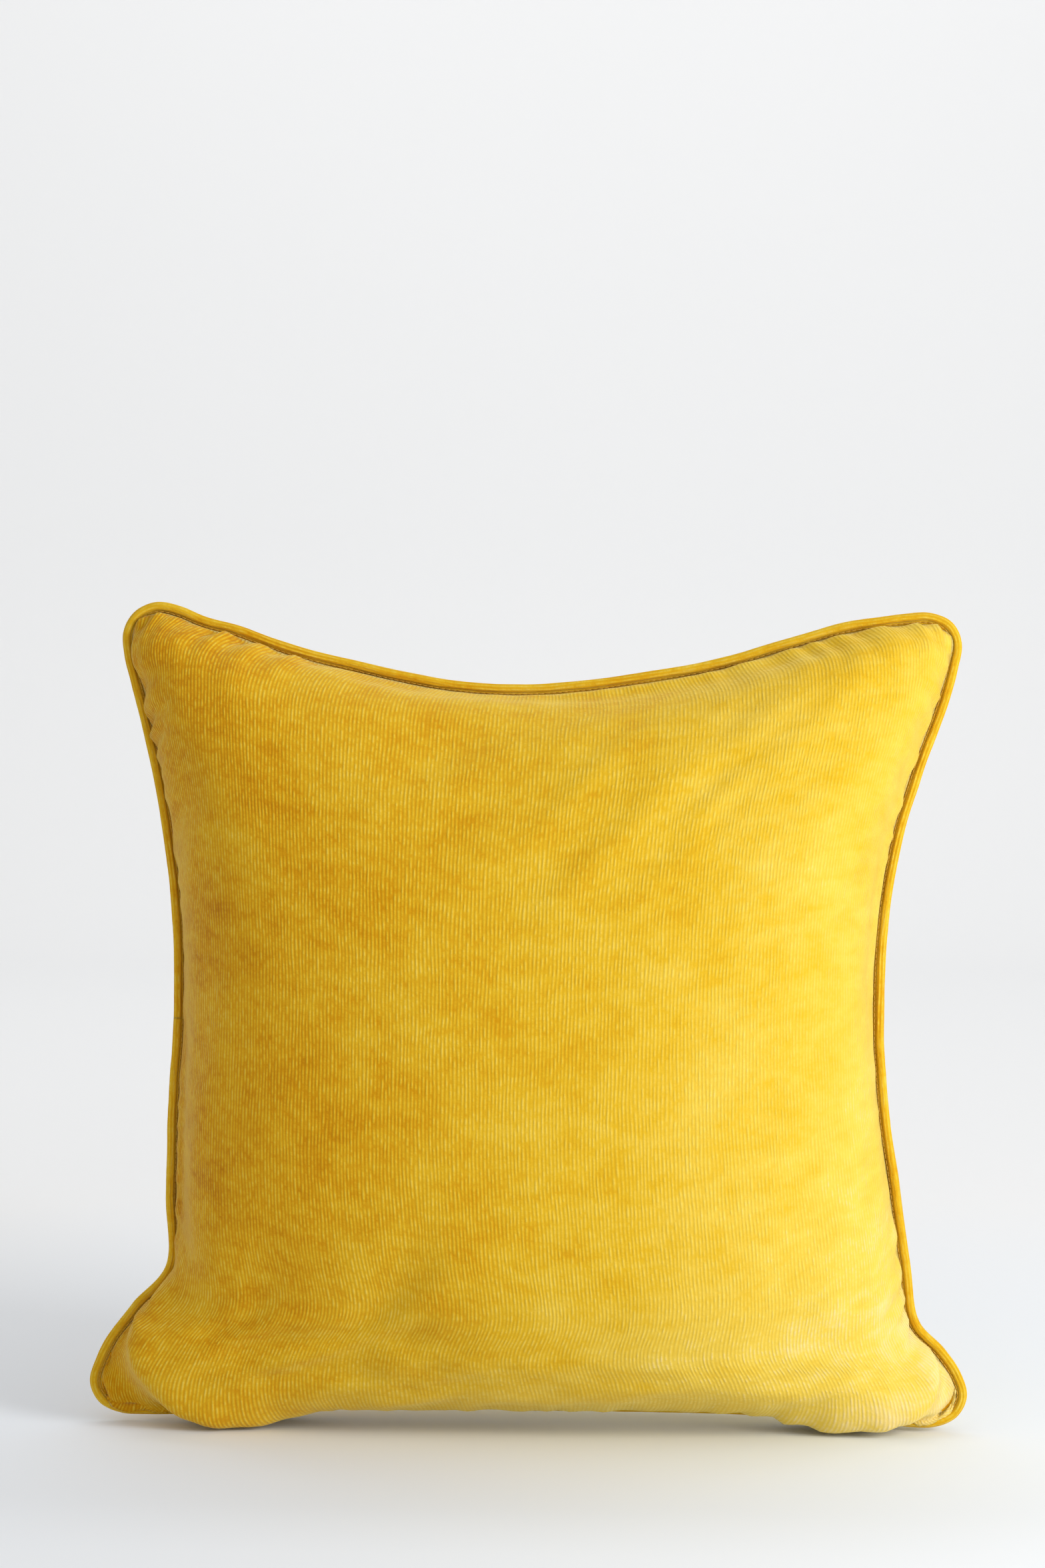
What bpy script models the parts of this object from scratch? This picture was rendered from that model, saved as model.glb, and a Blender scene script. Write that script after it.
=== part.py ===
"""A square piped throw pillow: cover with a zip across the back, and a fibre pad inside it.

Frame: +X to the pillow's right, the front faces -Y, +Z up. The pillow stands on z = 0 and the
origin is below the middle of its bounding box. Metres throughout.
"""
import math

import bmesh
import bpy
from mathutils import Vector

# ---------------------------------------------------------------- driving dimensions
OVERALL_WIDTH = 0.450        # across the two lower corners, outside the piping
OVERALL_HEIGHT = 0.4215      # standing, floor to the higher top corner
FRONT_CROWN = 0.086          # how far the front stands out of the seam plane
BACK_CROWN = 0.086
LEAN = 0.016                 # how far back the top seam is from the bottom seam

CORD_RADIUS = 0.0015
SLEEVE_WALL = 0.0005
LEG_LENGTH = 0.0105          # the sleeve's two legs, from the cord's centre into the cover
LEG_WALL = 0.0006
COVER_THICKNESS = 0.0012
CASING_THICKNESS = 0.0005
PAD_INSET = 0.013            # the pad's own seam, in from the piping
COVER_TO_PAD = 0.0013        # room between the cover and the pad's casing
GAP = 0.0003                 # clearance between pieces that touch
FIBRE_GAP = 0.0004           # between the casing and the fibre in it
THREAD_WIDTH = 0.0004
STITCH_INSET = 0.00055       # from the piping's outside to its line of stitches
TURN_INSET = 0.0011          # from the piping's outside to where the cover's edge turns in

FOOT_OFFSET = 0.165          # from the middle to each foot the pillow stands on
FOOT_SPREAD = 0.036          # half-width of the foot's bulge
FOOT_DROP = 0.034            # how far the cloth hangs down to make a foot
PAD_FOOT_SHARE = 0.7         # how much of that the pad inside follows
PAD_CORNER_LOSS = 0.3        # how much less the pad fills the cover's corners
FOOT_FULL = 0.022            # flat height up to which the foot hangs in full
FOOT_FADE = 0.060            # and over which it dies out above that
CROWN_POWER = 2.3            # higher is a flatter middle and steeper sides

ZIP_PANEL_HEIGHT = 0.050     # flat height of the lower back panel
ZIP_TILT = math.radians(62)  # of the zip's plane, up from the floor
ZIP_RISE = 0.77              # height gained for each flat metre of the lower back panel
SLOT_HALF_WIDTH = 0.0042     # between the two folded cloth edges, each side of the middle
ZIP_BAND = 0.021             # the cloth is flat this far above and below the zip
ZIP_FADE_ABOVE = 0.045
ZIP_FADE_BELOW = 0.008
ZIP_BAND_HALF = 0.171        # and this far to each side of the middle
ZIP_FADE_SIDE = 0.034
ZIP_ROOM = 0.0030            # the pad lies this much deeper behind the zip's slider
TAPE_WIDTH = 0.0100
TAPE_THICKNESS = 0.0005
COIL_RADIUS = 0.0008
COIL_OFFSET = 0.00135        # from the zip's middle line to each coil's centre
STOP_LENGTH = 0.0025
SLIDER_LENGTH = 0.009
SLIDER_WIDTH = 0.0074
SLIDER_PLATE = 0.0010
WEB_HALF_LENGTH = 0.0012     # of the piece that joins the slider's two plates
CROWN_HALF_LENGTH = 0.0036   # the crown is the bridge that holds the pull
CROWN_HALF_WIDTH = 0.0008
CROWN_CLEARANCE = 0.0008     # from the pull's pivot to the crown over it
CROWN_LEG_IN = 0.0024
CROWN_LEG_OUT = 0.0035
CROWN_LEG_HALF_WIDTH = 0.0007
PIVOT_LIFT = 0.00085         # from the outer plate to the pull's pivot
PULL_LENGTH = 0.022
PULL_WIDTH = 0.0050
PULL_THICKNESS = 0.0011
WINDOW_LENGTH = 0.0048       # the pull's window, from its pivot to the far end
WINDOW_HALF_WIDTH = 0.0012
LABEL_THICKNESS = 0.0005

# Piping centreline of a 450 mm cover: (x, z) in mm, anticlockwise from the middle of the
# bottom. A third value of 1 marks the middle of a corner.
OUTLINE = (
    (0, 10.5), (105, 9.8), (165, 6.5), (206.7, 4.6), (218, 9.2, 1), (222.7, 20.5),
    (216.7, 34), (204, 50), (195, 60), (193.6, 72), (194, 88), (191.5, 106), (186, 136),
    (180.7, 185), (180, 228), (183, 267), (189, 301), (199, 335), (211.5, 369), (218.2, 398),
    (214, 409.5, 1), (200.5, 413.8), (154, 407), (86.5, 388), (-12, 377), (-101, 392),
    (-152, 408), (-186.5, 418.8), (-200.5, 414.6, 1), (-206, 401), (-199.8, 373),
    (-192.3, 342), (-185.8, 308), (-180.8, 267), (-179, 219), (-183, 148), (-183, 106),
    (-181.5, 88), (-185.5, 76), (-196, 65), (-209, 50), (-218.5, 34), (-222.5, 20.5),
    (-217.8, 10.6, 1), (-206.5, 6.2), (-165, 6.5), (-105, 9.8),
)
DESIGN_WIDTH = 0.450
DESIGN_HEIGHT = 0.4215
SCALE_X = OVERALL_WIDTH / DESIGN_WIDTH
SCALE_Z = OVERALL_HEIGHT / DESIGN_HEIGHT

# Panel lines as flat distances in from a side, corner to middle. One of them is the zip's, and
# the column after it is where the zip ends.
FLAT_HALF = 0.225
HALF_LINES = (PAD_INSET, 0.024, ZIP_PANEL_HEIGHT - 0.014, ZIP_PANEL_HEIGHT,
              ZIP_PANEL_HEIGHT + 0.020, 0.098, 0.135, 0.180, FLAT_HALF)
ZIP_ROW = 3                  # index in HALF_LINES of the zip's line
ZIP_END = ZIP_ROW + 1        # and of the column where the slot ends

PIPE_RADIUS = CORD_RADIUS + GAP + SLEEVE_WALL
LEG_OUTER = GAP / 2 + LEG_WALL
PANEL_INSET = PIPE_RADIUS + TURN_INSET
MID_INSET = 0.008
CASING_DEPTH = COVER_THICKNESS + COVER_TO_PAD
CHAIN_DEPTH = COVER_THICKNESS + GAP + TAPE_THICKNESS / 2
PIVOT_DEPTH = CHAIN_DEPTH - COIL_RADIUS - GAP - SLIDER_PLATE - PIVOT_LIFT

MUSTARD = (0.72, 0.40, 0.035)


# ---------------------------------------------------------------- scene helpers
def clear_scene():
    for obj in list(bpy.data.objects):
        bpy.data.objects.remove(obj, do_unlink=True)


def material(name, colour, roughness, metallic=0.0):
    mat = bpy.data.materials.new(name)
    mat.use_nodes = True
    shader = mat.node_tree.nodes["Principled BSDF"]
    shader.inputs["Base Color"].default_value = (*colour, 1.0)
    shader.inputs["Roughness"].default_value = roughness
    shader.inputs["Metallic"].default_value = metallic
    return mat


def halved(face):
    """A four-sided face as two triangles, cut from its first-numbered corner.

    Nested layers share their numbering, so they are cut along the same diagonals.
    """
    if len(face) != 4:
        return [face]
    first = face.index(min(face))
    a, b, c, d = face[first:] + face[:first]
    return [(a, b, c), (a, c, d)]


def add_object(name, verts, faces, mat, smooth=True):
    """A mesh object whose faces are turned to point outwards."""
    mesh = bpy.data.meshes.new(name)
    mesh.from_pydata([tuple(v) for v in verts], [], [t for f in faces for t in halved(f)])
    bm = bmesh.new()
    bm.from_mesh(mesh)
    bmesh.ops.recalc_face_normals(bm, faces=bm.faces)
    bm.to_mesh(mesh)
    bm.free()
    if smooth:
        mesh.shade_smooth()
        mesh.set_sharp_from_angle(angle=math.radians(40))
    mesh.materials.append(mat)
    obj = bpy.data.objects.new(name, mesh)
    bpy.context.scene.collection.objects.link(obj)
    return obj


# ---------------------------------------------------------------- the seam's loop
def catmull_rom(a, b, c, d, t):
    return 0.5 * (2 * b + (c - a) * t + (2 * a - 5 * b + 4 * c - d) * t * t
                  + (3 * b - a - 3 * c + d) * t * t * t)


def dense_loop():
    """Fine points round the piping's centreline, and the indices of its four corners."""
    keys = [Vector((p[0] * SCALE_X / 1000, 0, p[1] * SCALE_Z / 1000)) for p in OUTLINE]
    steps = 16
    count = len(keys)
    points, corners = [], []
    for i in range(count):
        if len(OUTLINE[i]) > 2:
            corners.append(len(points))
        around = [keys[(i + k) % count] for k in (-1, 0, 1, 2)]
        points.extend(catmull_rom(*around, s / steps) for s in range(steps))
    for p in points:
        p.y = LEAN * max(p.z, 0) / OVERALL_HEIGHT
    return points, corners


def side_stations(points, corners, lines):
    """Fine-point positions of the stations on each side, in the panel's line spacing."""
    count = len(points)
    total = 2 * (FLAT_HALF - PAD_INSET)
    half = [(d - PAD_INSET) / total for d in lines]
    fractions = half + [1 - f for f in reversed(half[:-1])]
    sides = []
    for k in range(4):
        first = corners[k]
        last = corners[(k + 1) % 4]
        span = (last - first) % count
        lengths = [0.0]
        for s in range(span):
            a, b = points[(first + s) % count], points[(first + s + 1) % count]
            lengths.append(lengths[-1] + (b - a).length)
        stations = []
        s = 0
        for f in fractions:
            want = f * lengths[-1]
            while s < span - 1 and lengths[s + 1] < want:
                s += 1
            part = (want - lengths[s]) / (lengths[s + 1] - lengths[s])
            stations.append((first + s + min(max(part, 0.0), 1.0)) % count)
        sides.append(stations)
    return sides


class Seam:
    """The seam loop and its inset copies, read at a fractional fine-point index."""

    def __init__(self):
        self.points, corners = dense_loop()
        # corners run bottom right, top right, top left, bottom left
        self.corners = [corners[3], corners[0], corners[1], corners[2]]
        self.normals = self.inward_normals(self.points, 5)
        self.pad_line = self.inset_smoothed(PAD_INSET, 150)

    @staticmethod
    def inward_normals(points, reach):
        count = len(points)
        normals = []
        for i in range(count):
            along = points[(i + reach) % count] - points[(i - reach) % count]
            normals.append(Vector((-along.z, 0, along.x)).normalized())
        return normals

    def inset_smoothed(self, inset, passes):
        """The loop moved in, with its corners eased so that it never crosses itself."""
        line = [p + n * inset for p, n in zip(self.points, self.normals)]
        count = len(line)
        for _ in range(passes):
            line = [(line[i - 1] + line[i] * 2 + line[(i + 1) % count]) / 4
                    for i in range(count)]
        for i in range(count):
            short = inset - (line[i] - self.points[i]).dot(self.normals[i])
            line[i] += self.normals[i] * max(short, 0)
        return line

    def read(self, values, index):
        low = int(index) % len(values)
        part = index - int(index)
        return values[low].lerp(values[(low + 1) % len(values)], part)

    def at(self, index, inset):
        """A point `inset` in from the piping's centre: exact near it, eased at the pad."""
        inward = self.read(self.normals, index).normalized()
        if inset <= LEG_LENGTH:
            return self.read(self.points, index) + inward * inset
        return self.read(self.pad_line, index) + inward * (inset - PAD_INSET)


class Grid:
    """The panel grid: Coons lines inside the pad's line, and the stations round its rim."""

    def __init__(self, seam):
        lines = list(HALF_LINES)
        self.seam = seam
        self.n = 2 * len(lines) - 1
        bottom, right, top, left = side_stations(seam.points, seam.corners, lines)
        self.flat = [d - FLAT_HALF for d in lines] + [FLAT_HALF - d for d in reversed(lines[:-1])]
        last = self.n - 1
        self.rim_nodes = ([(i, 0) for i in range(last)] + [(last, j) for j in range(last)]
                          + [(last - i, last) for i in range(last)]
                          + [(0, last - j) for j in range(last)])
        self.rim_index = bottom[:-1] + right[:-1] + top[:-1] + left[:-1]
        rim = {node: seam.at(k, PAD_INSET) for node, k in zip(self.rim_nodes, self.rim_index)}
        self.mid = {}
        for i in range(self.n):
            for j in range(self.n):
                if (i, j) in rim:
                    self.mid[i, j] = rim[i, j].copy()
                    continue
                s = self.flat[i] / (2 * (FLAT_HALF - PAD_INSET)) + 0.5
                t = self.flat[j] / (2 * (FLAT_HALF - PAD_INSET)) + 0.5
                low, high = rim[i, 0], rim[i, last]
                west, east = rim[0, j], rim[last, j]
                corners = ((rim[0, 0] * (1 - s) + rim[last, 0] * s) * (1 - t)
                           + (rim[0, last] * (1 - s) + rim[last, last] * s) * t)
                self.mid[i, j] = (low * (1 - t) + high * t + west * (1 - s) + east * s
                                  - corners)


# ---------------------------------------------------------------- the panels' shape
def rise(flat_x, flat_z):
    """How full the pillow is, 0 at its seam to 1 at its middle, by flat panel position."""
    across = max(0.0, 1 - abs(flat_x / FLAT_HALF) ** CROWN_POWER)
    along = max(0.0, 1 - abs(flat_z / FLAT_HALF) ** CROWN_POWER)
    return math.sqrt(across * along)


def smooth_step(value):
    value = min(max(value, 0.0), 1.0)
    return value * value * (3 - 2 * value)


def foot_drop(x, flat_z):
    """The cloth's hang towards the floor: round the feet, fading out above them."""
    bump = math.exp(-((abs(x) - FOOT_OFFSET * SCALE_X) / FOOT_SPREAD) ** 2)
    up = flat_z + FLAT_HALF
    start = smooth_step((up - PANEL_INSET) / (MID_INSET - PANEL_INSET))
    fade = 1 - smooth_step((up - FOOT_FULL) / FOOT_FADE)
    return FOOT_DROP * SCALE_Z * bump * start * fade


class ZipPlane:
    """The straight zip's own frame, set by where its row of the back panel lies."""

    def __init__(self, grid):
        middle, end = (grid.n // 2, ZIP_ROW), (ZIP_END, ZIP_ROW)
        flat_z = grid.flat[ZIP_ROW]
        depths = [grid.mid[i, j].y + BACK_CROWN * rise(grid.flat[i], flat_z)
                  for i, j in (middle, end)]
        height = grid.mid[grid.n // 2, 0].z + (ZIP_PANEL_HEIGHT - PAD_INSET) * ZIP_RISE
        self.origin = Vector((0, sum(depths) / 2, height))

    def point(self, x, up, depth):
        """x along the zip, `up` across its plane, `depth` into the pillow."""
        across = Vector((0, math.cos(ZIP_TILT), math.sin(ZIP_TILT)))
        inward = Vector((0, -math.sin(ZIP_TILT), math.cos(ZIP_TILT)))
        return self.origin + Vector((x, 0, 0)) + across * up + inward * depth


class Shape:
    """Places the outer face of the cover, and everything nested inside it."""

    def __init__(self, side, plane, is_pad):
        self.side = side                      # -1 front, +1 back
        self.plane = plane
        self.foot_share = PAD_FOOT_SHARE if is_pad else 1.0
        self.corner_loss = PAD_CORNER_LOSS if is_pad else 0.0
        self.crown = FRONT_CROWN if side < 0 else BACK_CROWN

    def zip_weight(self, x, flat_z):
        if self.side < 0:
            return 0.0
        above = flat_z + FLAT_HALF - ZIP_PANEL_HEIGHT
        fade = ZIP_FADE_ABOVE if above > 0 else ZIP_FADE_BELOW
        near = 1 - smooth_step((abs(above) - ZIP_BAND) / fade)
        inside = 1 - smooth_step((abs(x) / SCALE_X - ZIP_BAND_HALF) / ZIP_FADE_SIDE)
        return near * inside

    def outer(self, mid, flat_x, flat_z):
        """The cover's outer face at a panel position whose mid-surface point is `mid`."""
        z = max(mid.z - foot_drop(mid.x, flat_z) * self.foot_share, 0.0)
        loss = self.corner_loss * abs(flat_x * flat_z / FLAT_HALF ** 2) ** 4
        fullness = rise(flat_x, flat_z) * (1 - loss)
        y = mid.y + self.side * max(self.crown * fullness, LEG_OUTER + GAP)
        planar = self.plane.point(mid.x, flat_z + FLAT_HALF - ZIP_PANEL_HEIGHT, 0)
        return Vector((mid.x, y, z)).lerp(planar, self.zip_weight(mid.x, flat_z))


def node_normals(points, n, side):
    """Outward unit normals of a grid of points, from its neighbouring points."""
    normals = {}
    for i in range(n):
        for j in range(n):
            east = points[min(i + 1, n - 1), j] - points[max(i - 1, 0), j]
            north = points[i, min(j + 1, n - 1)] - points[i, max(j - 1, 0)]
            normal = east.cross(north) * (1 if side < 0 else -1)
            normals[i, j] = normal.normalized()
    return normals


class Layers:
    """One side of the pillow on one grid: its outer face, and inner faces at any depth."""

    def __init__(self, seam, grid, plane, side, split_offset=None, is_pad=False):
        self.seam, self.grid, self.side = seam, grid, side
        self.shape = Shape(side, plane, is_pad)
        self.top = {}
        for (i, j), mid in grid.mid.items():
            self.top[i, j] = self.shape.outer(mid, grid.flat[i], grid.flat[j])
        self.normals = node_normals(self.top, grid.n, side)
        self.split_offset = split_offset
        if split_offset is not None:
            self.split(split_offset)

    def split(self, offset):
        """Moves the zip's row up or down its plane, to leave the slot and the closed seam."""
        row, last = ZIP_ROW, self.grid.n - 1
        middle = [self.top[i, row].copy() for i in range(self.grid.n)]
        for i, here in enumerate(middle):
            along = (middle[min(i + 1, last)] - middle[max(i - 1, 0)]).normalized()
            step = self.top[i, row + 1] - self.top[i, row - 1]
            across = (step - along * step.dot(along)).normalized()
            self.top[i, row] = here + across * offset(self.grid.flat[i])

    def parted(self, points):
        """The same ring of points, moved apart where the zip's row meets it."""
        if self.split_offset is not None:
            for (i, j), point in zip(self.grid.rim_nodes, points):
                if j == ZIP_ROW:
                    point.z += self.split_offset(self.grid.flat[i])
        return points

    def face(self, depth, zip_extra=0.0):
        """Every grid point moved in by `depth`, and by `zip_extra` more behind the zip."""
        moved = {}
        for (i, j), point in self.top.items():
            extra = zip_extra * self.shape.zip_weight(point.x, self.grid.flat[j])
            moved[i, j] = point - self.normals[i, j] * (depth + extra)
        return moved

    def ring(self, inset, depth):
        """The points of the ring between the pad's line and the seam."""
        points = []
        for (i, j), index in zip(self.grid.rim_nodes, self.grid.rim_index):
            mid = self.seam.at(index, inset)
            share = (FLAT_HALF - inset) / (FLAT_HALF - PAD_INSET)
            outer = self.shape.outer(mid, self.grid.flat[i] * share, self.grid.flat[j] * share)
            inward = self.seam.read(self.seam.normals, index).normalized()
            points.append(outer + inward * depth)
        return self.parted(points)

    def rim(self, inset, height):
        """Points at a fixed height off the seam plane, `inset` in from the piping."""
        points = []
        for index in self.grid.rim_index:
            mid = self.seam.at(index, inset)
            points.append(Vector((mid.x, mid.y + self.side * height, mid.z)))
        return self.parted(points)


# ---------------------------------------------------------------- building solids
class Sheet:
    """Collects one face of a shell: grid points first, then the rings round them."""

    def __init__(self, grid, face, rings):
        n = grid.n
        self.verts = [face[i, j] for i in range(n) for j in range(n)]
        node = {(i, j): i * n + j for i in range(n) for j in range(n)}
        self.faces, self.rows = [], []
        for i in range(n - 1):
            for j in range(n - 1):
                self.faces.append((node[i, j], node[i + 1, j], node[i + 1, j + 1],
                                   node[i, j + 1]))
                self.rows.append(j + 0.5)
        inner = [node[key] for key in grid.rim_nodes]
        count = len(inner)
        for ring in rings:
            outer = list(range(len(self.verts), len(self.verts) + count))
            self.verts.extend(ring)
            for k in range(count):
                after = (k + 1) % count
                self.faces.append((outer[k], outer[after], inner[after], inner[k]))
                self.rows.append((grid.rim_nodes[k][1] + grid.rim_nodes[after][1]) / 2)
            inner = outer


def shell(name, outer, inner, mat, keep=lambda row: True):
    """A closed shell between two sheets with the same faces, walled round its open edges."""
    faces = [f for f, row in zip(outer.faces, outer.rows) if keep(row)]
    shift = len(outer.verts)
    edges = {}
    for face in faces:
        for a, b in zip(face, face[1:] + face[:1]):
            edges[frozenset((a, b))] = None if frozenset((a, b)) in edges else (a, b)
    walls = [(pair[1], pair[0], pair[0] + shift, pair[1] + shift)
             for pair in edges.values() if pair]
    backs = [tuple(v + shift for v in reversed(face)) for face in faces]
    verts = outer.verts + inner.verts
    used = sorted({v for face in faces + walls + backs for v in face})
    renumber = {v: k for k, v in enumerate(used)}
    all_faces = [tuple(renumber[v] for v in face) for face in faces + walls + backs]
    return add_object(name, [verts[v] for v in used], all_faces, mat)


def swept_ring(name, seam, grid, profile, mat):
    """A closed ring: `profile` is (inset, off-plane) points, carried round the seam."""
    rings = []
    for index in grid.rim_index:
        ring = []
        for inset, height in profile:
            mid = seam.at(index, inset)
            ring.append(Vector((mid.x, mid.y + height, mid.z)))
        rings.append(ring)
    count, width = len(rings), len(profile)
    faces = []
    for k in range(count):
        after = (k + 1) % count
        for w in range(width):
            wide = (w + 1) % width
            faces.append((k * width + w, k * width + wide, after * width + wide,
                          after * width + w))
    return add_object(name, [p for ring in rings for p in ring], faces, mat)


def square(inset, height, size):
    half = size / 2
    return [(inset - half, height - half), (inset + half, height - half),
            (inset + half, height + half), (inset - half, height + half)]


# ---------------------------------------------------------------- the cover
def slot_offset(sign):
    """How far each back panel's edge stands off the zip's middle line."""
    open_to = FLAT_HALF - HALF_LINES[ZIP_END]

    def offset(flat_x):
        return sign * (SLOT_HALF_WIDTH if abs(flat_x) <= open_to + 1e-6 else GAP / 2)
    return offset


def cover_sheets(layers):
    flange = LEG_OUTER + GAP
    outer = Sheet(layers.grid, layers.face(0), [layers.ring(MID_INSET, 0),
                                                layers.rim(PANEL_INSET, flange)])
    inner = Sheet(layers.grid, layers.face(COVER_THICKNESS),
                  [layers.ring(MID_INSET, COVER_THICKNESS),
                   layers.rim(PANEL_INSET + COVER_THICKNESS, flange)])
    return outer, inner


def build_cover(seam, grid, plane, cloth):
    outer, inner = cover_sheets(Layers(seam, grid, plane, -1))
    shell("front_panel", outer, inner, cloth)
    outer, inner = cover_sheets(Layers(seam, grid, plane, 1, slot_offset(-1)))
    shell("back_panel_lower", outer, inner, cloth, lambda row: row < ZIP_ROW)
    outer, inner = cover_sheets(Layers(seam, grid, plane, 1, slot_offset(1)))
    shell("back_panel_upper", outer, inner, cloth, lambda row: row > ZIP_ROW)


def build_piping(seam, grid, cloth, cotton, thread):
    outer_r, inner_r = PIPE_RADIUS, CORD_RADIUS + GAP
    outer_start = math.asin(LEG_OUTER / outer_r)
    inner_start = math.asin(GAP / 2 / inner_r)
    arc = 6
    sleeve = [(LEG_LENGTH, LEG_OUTER)]
    for k in range(arc + 1):
        angle = outer_start + (2 * math.pi - 2 * outer_start) * k / arc
        sleeve.append((outer_r * math.cos(angle), outer_r * math.sin(angle)))
    sleeve += [(LEG_LENGTH, -LEG_OUTER), (LEG_LENGTH, -GAP / 2)]
    for k in range(arc + 1):
        angle = inner_start + (2 * math.pi - 2 * inner_start) * k / arc
        sleeve.append((inner_r * math.cos(angle), -inner_r * math.sin(angle)))
    sleeve.append((LEG_LENGTH, GAP / 2))
    swept_ring("piping_sleeve", seam, grid, sleeve, cloth)
    sides = 6
    cord = [(CORD_RADIUS * math.cos(2 * math.pi * k / sides),
             CORD_RADIUS * math.sin(2 * math.pi * k / sides)) for k in range(sides)]
    swept_ring("piping_cord", seam, grid, cord, cotton)
    stitch_in = PIPE_RADIUS + STITCH_INSET
    stitch_off = LEG_OUTER + GAP + THREAD_WIDTH / 2
    swept_ring("seam_needle_thread", seam, grid, square(stitch_in, -stitch_off, THREAD_WIDTH),
               thread)
    swept_ring("seam_bobbin_thread", seam, grid, square(stitch_in, stitch_off, THREAD_WIDTH),
               thread)


# ---------------------------------------------------------------- the pad
def casing_sheets(layers):
    outer = Sheet(layers.grid, layers.face(CASING_DEPTH, ZIP_ROOM),
                  [layers.rim(PAD_INSET, GAP / 2)])
    inner = Sheet(layers.grid, layers.face(CASING_DEPTH + CASING_THICKNESS, ZIP_ROOM),
                  [layers.rim(PAD_INSET + CASING_THICKNESS, GAP / 2)])
    return outer, inner


def build_pad(seam, grid, plane, casing, fibre, thread):
    front, back = (Layers(seam, grid, plane, side, is_pad=True) for side in (-1, 1))
    shell("pad_casing_front", *casing_sheets(front), casing)
    shell("pad_casing_back", *casing_sheets(back), casing)
    stitch_in = PAD_INSET - 2 * GAP - THREAD_WIDTH / 2
    swept_ring("pad_seam_thread", seam, grid, square(stitch_in, 0, THREAD_WIDTH), thread)
    depth = CASING_DEPTH + CASING_THICKNESS + FIBRE_GAP
    rim_inset = PAD_INSET + CASING_THICKNESS + FIBRE_GAP
    build_filling(grid, front.face(depth, ZIP_ROOM), back.face(depth, ZIP_ROOM),
                  front.rim(rim_inset, 0), fibre)


def build_filling(grid, front_face, back_face, rim, mat):
    """One closed body: both faces of the fibre, joined at a shared rim."""
    front, back = Sheet(grid, front_face, []), Sheet(grid, back_face, [])
    shift = len(front.verts)
    faces = front.faces + [tuple(v + shift for v in reversed(f)) for f in back.faces]
    inner = [i * grid.n + j for i, j in grid.rim_nodes]
    count = len(inner)
    for k in range(count):
        after = (k + 1) % count
        low, high = 2 * shift + k, 2 * shift + after
        faces.append((low, high, inner[after], inner[k]))
        faces.append((inner[k] + shift, inner[after] + shift, high, low))
    add_object("fibre_filling", front.verts + back.verts + rim, faces, mat)


# ---------------------------------------------------------------- the zip
def add_prism(name, outline, low, high, place, mat):
    """A prism: `outline` points are drawn at `low` and at `high`, and `place` sets them."""
    count = len(outline)
    verts = [place(a, b, c) for c in (low, high) for a, b in outline]
    faces = [tuple(range(count)), tuple(range(count, 2 * count))]
    faces += [(k, (k + 1) % count, count + (k + 1) % count, count + k) for k in range(count)]
    return add_object(name, verts, faces, mat, smooth=False)


def box_outline(a_low, a_high, b_low, b_high):
    return [(a_low, b_low), (a_high, b_low), (a_high, b_high), (a_low, b_high)]


def union_boxes(name, boxes, plane, mat):
    """Boxes in the zip's frame, joined into one body by Boolean unions."""
    base = None
    for k, (x0, x1, u0, u1, d0, d1) in enumerate(boxes):
        box = add_prism(f"{name}_{k}", box_outline(x0, x1, u0, u1), d0, d1, plane.point, mat)
        if base is None:
            base = box
            continue
        join = base.modifiers.new("join", "BOOLEAN")
        join.operation = "UNION"
        join.object = box
        with bpy.context.temp_override(object=base, active_object=base,
                                       selected_objects=[base]):
            bpy.ops.object.modifier_apply(modifier=join.name)
        bpy.data.objects.remove(box, do_unlink=True)
    base.name = name
    base.data.name = name
    return base


def zip_half_length(back):
    """Half the coil's length: the slot's straight part, less room for the stops."""
    left = abs(back.top[ZIP_END, ZIP_ROW].x)
    right = abs(back.top[back.grid.n - 1 - ZIP_END, ZIP_ROW].x)
    return min(left, right) - STOP_LENGTH - 2 * GAP


def build_zip(plane, half, tape, coil, metal):
    tape_top = COVER_THICKNESS + GAP
    tape_end = half + STOP_LENGTH
    for name, sign in (("upper", 1), ("lower", -1)):
        near = sign * (COIL_OFFSET + COIL_RADIUS + GAP)
        far = sign * (COIL_OFFSET + COIL_RADIUS + GAP + TAPE_WIDTH)
        add_prism("zip_tape_" + name, box_outline(-tape_end, tape_end, near, far),
                  tape_top, tape_top + TAPE_THICKNESS, plane.point, tape)
        sides = 8
        rod = [(sign * COIL_OFFSET + COIL_RADIUS * math.cos(2 * math.pi * k / sides),
                CHAIN_DEPTH + COIL_RADIUS * math.sin(2 * math.pi * k / sides))
               for k in range(sides)]
        add_prism("zip_coil_" + name, rod, -half, half,
                  lambda up, depth, x: plane.point(x, up, depth), coil)
    stop_half = COIL_OFFSET + COIL_RADIUS
    for name, sign in (("zip_top_stop", 1), ("zip_bottom_stop", -1)):
        start = sign * (half + GAP)
        add_prism(name, box_outline(start, start + sign * STOP_LENGTH, -stop_half, stop_half),
                  CHAIN_DEPTH - COIL_RADIUS, CHAIN_DEPTH + COIL_RADIUS, plane.point, metal)


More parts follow.
